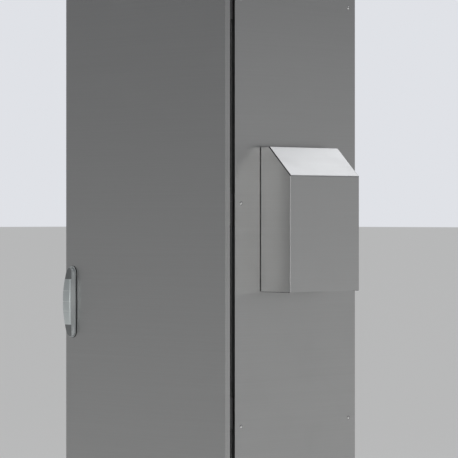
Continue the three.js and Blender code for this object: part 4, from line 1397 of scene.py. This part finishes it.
@dataclass
class WeatherHood:
    """The hood over the fan, with its seal, screen, fan and filter."""

    bend: float = 2.2 * MM
    hem: float = 1.0 * MM
    squeeze: float = 1.5 * MM
    # the size of the black strips that paint the shadow line under the side sheets
    trim: float = 1.2 * MM
    # the bends along the slanted roof are painted black, a painted dark reflection
    dark_bend_tilt: float = 0.12  # how far up and out a bend looks along the slanted roof
    guard_rings: tuple[float, ...] = (0.022, 0.038, 0.054, 0.070, 0.086)
    wire: float = 1.1 * MM
    ring_facets: int = 48
    wire_facets: int = 8
    screw: float = 4.0 * MM
    screw_inset: float = 28 * MM

    def build(self) -> None:
        """Models and dresses the hood and the fan behind it."""
        self.build_shell()
        self.build_seals()
        build_all(
            PackedPieces("hood_screen", "cabinet", ZINC, 0.2 * MM, 1),
            PackedPieces("fan_housing", "cabinet", DARK_MOULDING),
            PackedPieces("fan_rotor", "rotor", DARK_MOULDING, 0.6 * MM),
            PackedPieces("filter_mat", "cabinet", FLEECE, 2.0 * MM, 4),
        )
        ScrewSet(self.screw).build_corners("fan_housing", X, -1, self.screw_inset)
        self.build_guard()

    def build_guard(self) -> None:
        """Models the fan's wire guard: rings on two crossed wires, in front of the housing."""
        low, high = box_of("fan_housing")
        middle = (low + high) / 2
        middle.x = low.x - self.wire
        wires = [
            Workpiece.from_primitive(
                "guard_ring", bpy.ops.mesh.primitive_torus_add, major_radius=radius,
                minor_radius=self.wire, major_segments=self.ring_facets,
                minor_segments=self.wire_facets,
                location=middle, rotation=(0, math.radians(90), 0),
            )
            for radius in self.guard_rings
        ]
        reach = self.guard_rings[-1] * math.sqrt(0.5)
        for slope in (1, -1):
            front = middle - Vector((2 * self.wire, 0, 0))
            reached = Vector((0, reach, slope * reach))
            ends = (front - reached, front + reached)
            wires.append(Workpiece.round_bar("guard_wire", self.wire, *ends, self.wire_facets))
        wires[0].activate()
        for wire in wires:
            wire.piece.select_set(True)
        bpy.ops.object.join()
        guard = Workpiece(wires[0].piece, "fan_guard")
        guard.done("cabinet", SCREW_STEEL, degrees=WIRE_SHADING, slot=ZINCED)

    def build_seals(self) -> None:
        """Models the seal, squeezed against the panel, and a black strip under each side sheet, a
        painted shadow line.
        """
        outside, sideways = box_of("hood_seal")[1].x, Vector((-self.squeeze, 0, 0))
        seal = Workpiece.from_node("hood_seal", "hood_seal_squeezed")
        seal.shift(lambda edge: on_plane(edge, X, outside), sideways).soften(0.3 * MM, 2)
        seal.done("cabinet", SEAL_FOAM_AND_PAINTED_SHADE, replaces=("hood_seal",))
        low, high = box_of("hood_shell")
        # painted shadow: a black strip along the lower edge of each side sheet, standing in for
        # the shadow line under it
        for name, edge in (("front", low.y), ("rear", high.y - self.trim)):
            strip = Workpiece.block(
                f"hood_trim_{name}",
                Vector((low.x, edge, low.z - self.trim)),
                Vector((high.x - self.bend, edge + self.trim, low.z)),
            )
            strip.soften(0.3 * MM, 2).done("cabinet", SEAL_FOAM_AND_PAINTED_SHADE)

    def build_shell(self) -> None:
        """Models the hood's sheet: rounded bends, those along each side of the roof painted black
        as a dark reflection.
        """
        low, high = box_of("hood_shell")

        def is_bend(edge: Edge) -> bool:
            """Returns whether an edge is an outer bend, away from the panel and the mouth."""
            if on_plane(edge, X, low.x) or on_plane(edge, Z, low.z):
                return False
            if any(face.normal.length < 0.5 for face in edge.link_faces):  # a face without area
                return False
            at_side = on_plane(edge, Y, low.y) or on_plane(edge, Y, high.y)
            return at_side or near(run(edge, Y), high.y - low.y, 0.1 * MM)

        def is_dark_bend(face: Face) -> bool:
            """Returns whether a face lies in a bend along the slanted roof."""
            middle = face.calc_center_median()
            at_side = min(middle.y - low.y, high.y - middle.y) < self.bend
            return at_side and min(face.normal.x, face.normal.z) > self.dark_bend_tilt

        def is_hem(edge: Edge) -> bool:
            """Returns whether an edge is the front sheet's lower edge."""
            return on_plane(edge, Z, low.z) and on_plane(edge, X, high.x)

        work = Workpiece.from_node("hood_shell", "hood_sheet")
        work.round_edges(is_bend, self.bend, 4).round_edges(is_hem, self.hem, 3)
        work.shift(lambda edge: on_plane(edge, X, low.x), Vector((-self.squeeze, 0, 0)))
        # painted reflection: the bends along the slanted roof get the black foam, a dark line
        # standing in for the dark surroundings that they reflect
        work.dress(HOOD_SHEET_LIGHTER).paint_faces(is_dark_bend, SEAL_FOAM_AND_PAINTED_SHADE).soften(0.2 * MM, 1)
        work.done("cabinet", HOOD_SHEET_LIGHTER, replaces=("hood_shell",))


@dataclass
class Switchgear:
    """The mounting plate with its switches, drive, load bars, controller and earth bar."""

    pole_pitch: float = 34 * MM
    poles: int = 3
    lug_width: float = 20 * MM
    lug_depths: Pair = (20 * MM, 25 * MM)  # behind the case's front
    lug_ends: Pair = (-21 * MM, 16 * MM)  # above the case's top
    lug_corner: float = 4 * MM
    bolt: float = 6 * MM
    bolt_height: float = 5 * MM
    bolt_above: float = 6 * MM
    bolt_crown: Pair = (1.0 * MM, 0.6 * MM)  # in and up
    earth_screws: int = 6
    earth_pitch: float = 40 * MM
    earth_screw: float = 6.5 * MM
    corner_screws: tuple[tuple[str, float, float], ...] = (  # node, head's radius, inset
        ("normal_arc_cover", 3.2 * MM, 8 * MM),
        ("emergency_arc_cover", 3.2 * MM, 8 * MM),
        ("drive_case", 3.2 * MM, 9 * MM),
        ("controller_case", 2.4 * MM, 6 * MM),
        ("mounting_plate", 5.0 * MM, 18 * MM),
    )
    display_across: Pair = (15 * MM, 55 * MM)  # from the case's left and right side
    display_down: Pair = (53 * MM, 15 * MM)  # bottom and top, below the case's top
    display_depths: Pair = (0.6 * MM, 1.0 * MM)  # out of the case's front and into it
    display_frame: Pair = (3.0 * MM, 0.5 * MM)  # in and down

    def build(self) -> None:
        """Models and dresses the switchgear."""
        build_all(PackedPieces("mounting_plate transfer_chassis", "cabinet", ZINC))
        for side in ("normal", "emergency"):
            build_all(
                PackedPieces(f"{side}_switch_case", "cabinet", DARK_MOULDING),
                PackedPieces(f"{side}_arc_cover", "cabinet", GREY_MOULDING, 0.9 * MM),
                PackedPieces(f"{side}_contact_carrier", f"{side}_contacts", RED_MOULDING),
            )
            self.build_lugs(side)
        bars = " ".join(f"load_bar_{number}" for number in range(1, self.poles + 1))
        build_all(
            PackedPieces("drive_case", "cabinet", GREY_MOULDING, 1.5 * MM, 4),
            PackedPieces("drive_shaft", "transfer_shaft", ZINC, 0.5 * MM),
            PackedPieces("hand_lever", "transfer_shaft", RED_MOULDING, 1.5 * MM, 4),
            PackedPieces(f"{bars} earth_bar", "cabinet", COPPER, 0.5 * MM, 2),
            PackedPieces("controller_case", "cabinet", LIGHT_MOULDING, 1.4 * MM, 4),
            PackedPieces("test_button", "test_push", GREEN_MOULDING, segments=4),
            PackedPieces("reset_button", "reset_push", RED_MOULDING, segments=4),
        )
        for node, head, inset in self.corner_screws:
            ScrewSet(head).build_corners(node, Y, -1, inset)
        self.build_earth_screws()
        self.build_display()

    def build_earth_screws(self) -> None:
        """Puts a row of screws along the middle of the earth bar."""
        low, high = box_of("earth_bar")
        middle, last = (low + high) / 2, self.earth_screws - 1
        places = [
            Vector((middle.x + (i - last / 2) * self.earth_pitch, low.y, middle.z))
            for i in range(self.earth_screws)
        ]
        ScrewSet(self.earth_screw).build("earth_screw", places, Vector((0, -1, 0)))

    def build_lugs(self, side: str) -> None:
        """Models the line terminals: a copper palm with a bolt in each pole's well.

        Args:
            side: Which switch, normal or emergency.
        """
        low, high = box_of(f"{side}_switch_case")
        front, back = (low.y + depth for depth in self.lug_depths)
        bottom, top = (high.z + end for end in self.lug_ends)

        def is_corner(edge: Edge) -> bool:
            """Returns whether an edge goes through the palm at its top."""
            return on_plane(edge, Z, top) and near(run(edge, Y), back - front, 0.1 * MM)

        for pole in range(self.poles):
            x = (low.x + high.x) / 2 + (pole - (self.poles - 1) / 2) * self.pole_pitch
            palm = Workpiece.block(
                f"{side}_line_palm_{pole + 1}",
                Vector((x - self.lug_width / 2, front, bottom)),
                Vector((x + self.lug_width / 2, back, top)),
            )
            palm.round_edges(is_corner, self.lug_corner, 5).soften(0.4 * MM, 2)
            palm.done("cabinet", COPPER)
            seat = Vector((x, front, high.z + self.bolt_above))
            head = seat - Vector((0, self.bolt_height, 0))
            bolt = Workpiece.round_bar(f"{side}_line_bolt_{pole + 1}", self.bolt, seat, head, 6)
            margin, rise = self.bolt_crown
            bolt.sink(lambda face: face.normal.y < -FACING, margin, -rise).soften(0.4 * MM, 2)
            bolt.done("cabinet", SCREW_STEEL, slot=ZINCED)

    def build_display(self) -> None:
        """Models the controller's display window with a raised frame."""
        low, high = box_of("controller_case")
        proud, sunk = self.display_depths
        left, right = self.display_across
        bottom, top = self.display_down
        window = Workpiece.block(
            "display_glass",
            Vector((low.x + left, low.y - proud, high.z - bottom)),
            Vector((high.x - right, low.y + sunk, high.z - top)),
        )
        window.sink(lambda face: face.normal.y < -FACING, *self.display_frame)
        window.soften(0.3 * MM, 3).done("cabinet", DISPLAY)


# ---------------------------------------------------------------- studio


@dataclass(frozen=True)
class Lamp:
    """A soft rectangular lamp."""

    name: str
    place: tuple[float, float, float]
    target: tuple[float, float, float]
    size: Pair
    power: float
    spread: float = 180.0  # the full angle that it shines into, in degrees
    colour: Colour = (1.0, 1.0, 1.0)

    def hang(self) -> None:
        """Hangs the lamp."""
        data = bpy.data.lights.new(self.name, "AREA")
        data.shape = "RECTANGLE"
        data.size, data.size_y = self.size
        data.energy, data.color, data.spread = self.power, self.colour, math.radians(self.spread)
        lamp = bpy.data.objects.new(self.name, data)
        lamp.location = self.place
        way = Vector(self.target) - Vector(self.place)
        lamp.rotation_euler = way.to_track_quat("-Z", "Y").to_euler()
        bpy.context.scene.collection.objects.link(lamp)


@dataclass
class Studio:
    """Floor, soft lights and the camera."""

    view_turn: float = math.radians(44.05)
    distance: float = 6.598
    aside: float = 0.0094
    eye_height: float = 1.2445
    lens: float = 203.7
    shift: float = -0.0306
    floor_colour: Colour = (0.78, 0.78, 0.77)
    floor_roughness: float = 0.75
    air_colour: Colour = (0.93, 0.95, 1.0)
    world_light: float = 0.19
    backdrop: float = 0.8
    overhead_light: float = 1.45
    overhead_angle: float = math.radians(50)
    overhead_height: float = 6.0
    lamps: tuple[Lamp, ...] = (
        Lamp("roof_softbox", (0.35, 2.6, 3.9), (0.35, 0.0, 1.35), (2.6, 1.8), 22.5,
             colour=(0.955, 0.97, 1.0)),
        Lamp("camera_softbox", (6.4, -6.6, 1.25), (0.3, -0.1, 1.15), (4.0, 3.6), 9.5, 50.0),
        Lamp("panel_fill", (3.4, 3.4, 0.9), (0.3, 0.0, 0.9), (3.6, 2.6), 5.0),
    )

    def build(self) -> None:
        """Sets up the studio."""
        self.build_floor()
        self.build_world()
        self.build_camera()
        self.build_overhead()
        for lamp in self.lamps:
            lamp.hang()
        bpy.context.scene.view_settings.view_transform = "Standard"

    def build_floor(self) -> None:
        """Lays a plain pale floor."""
        clear_selection()
        bpy.ops.mesh.primitive_plane_add(size=FIELD, location=(0, 0, 0))
        floor = bpy.context.active_object
        floor.name = "studio_floor"
        paint = bpy.data.materials.new("pale_floor")
        paint.use_nodes = True
        shader = paint.node_tree.nodes["Principled BSDF"]
        shader.inputs["Base Color"].default_value = (*self.floor_colour, 1.0)
        shader.inputs["Roughness"].default_value = self.floor_roughness
        floor.data.materials.append(paint)

    def build_world(self) -> None:
        """Sets an even pale surrounding light, brighter where it is seen as the backdrop."""
        world = bpy.data.worlds.new("studio_air")
        world.use_nodes = True
        wires = Wiring(world.node_tree)
        seen = wires.node("LightPath").outputs["Is Camera Ray"]
        air = world.node_tree.nodes["Background"].inputs
        wires.feed(air["Color"], (*self.air_colour, 1.0))
        wires.feed(air["Strength"], wires.spread(seen, self.world_light, self.backdrop))
        bpy.context.scene.world = world

    def build_overhead(self) -> None:
        """Hangs the even light overhead that brightens the floor."""
        data = bpy.data.lights.new("overhead_light", "SUN")
        data.energy, data.angle = self.overhead_light, self.overhead_angle
        lamp = bpy.data.objects.new("overhead_light", data)
        lamp.location = (0, 0, self.overhead_height)
        bpy.context.scene.collection.objects.link(lamp)

    def build_camera(self) -> None:
        """Places the level camera, turned towards the cabinet's front right corner."""
        ahead = Vector((-math.sin(self.view_turn), math.cos(self.view_turn), 0))
        across = Vector((math.cos(self.view_turn), math.sin(self.view_turn), 0))
        low, high = box_of("door_panel")
        corner = Vector((high.x, low.y, self.eye_height))
        data = bpy.data.cameras.new("studio_camera")
        data.lens, data.shift_y, data.clip_end = self.lens, self.shift, FIELD
        camera = bpy.data.objects.new("studio_camera", data)
        camera.location = corner - ahead * self.distance + across * self.aside
        camera.rotation_euler = (math.radians(90), 0, self.view_turn)
        bpy.context.scene.collection.objects.link(camera)
        bpy.context.scene.camera = camera


def main() -> None:
    """Builds every sub-assembly, then the studio."""
    logging.basicConfig(level=logging.INFO, format="%(message)s")
    for part in (Carcass(), DoorLeaf(), SwingHandle(), WeatherHood(), Switchgear(), Studio()):
        LOG.info("building %s", type(part).__name__)
        part.build()


if __name__ == "__main__":
    main()
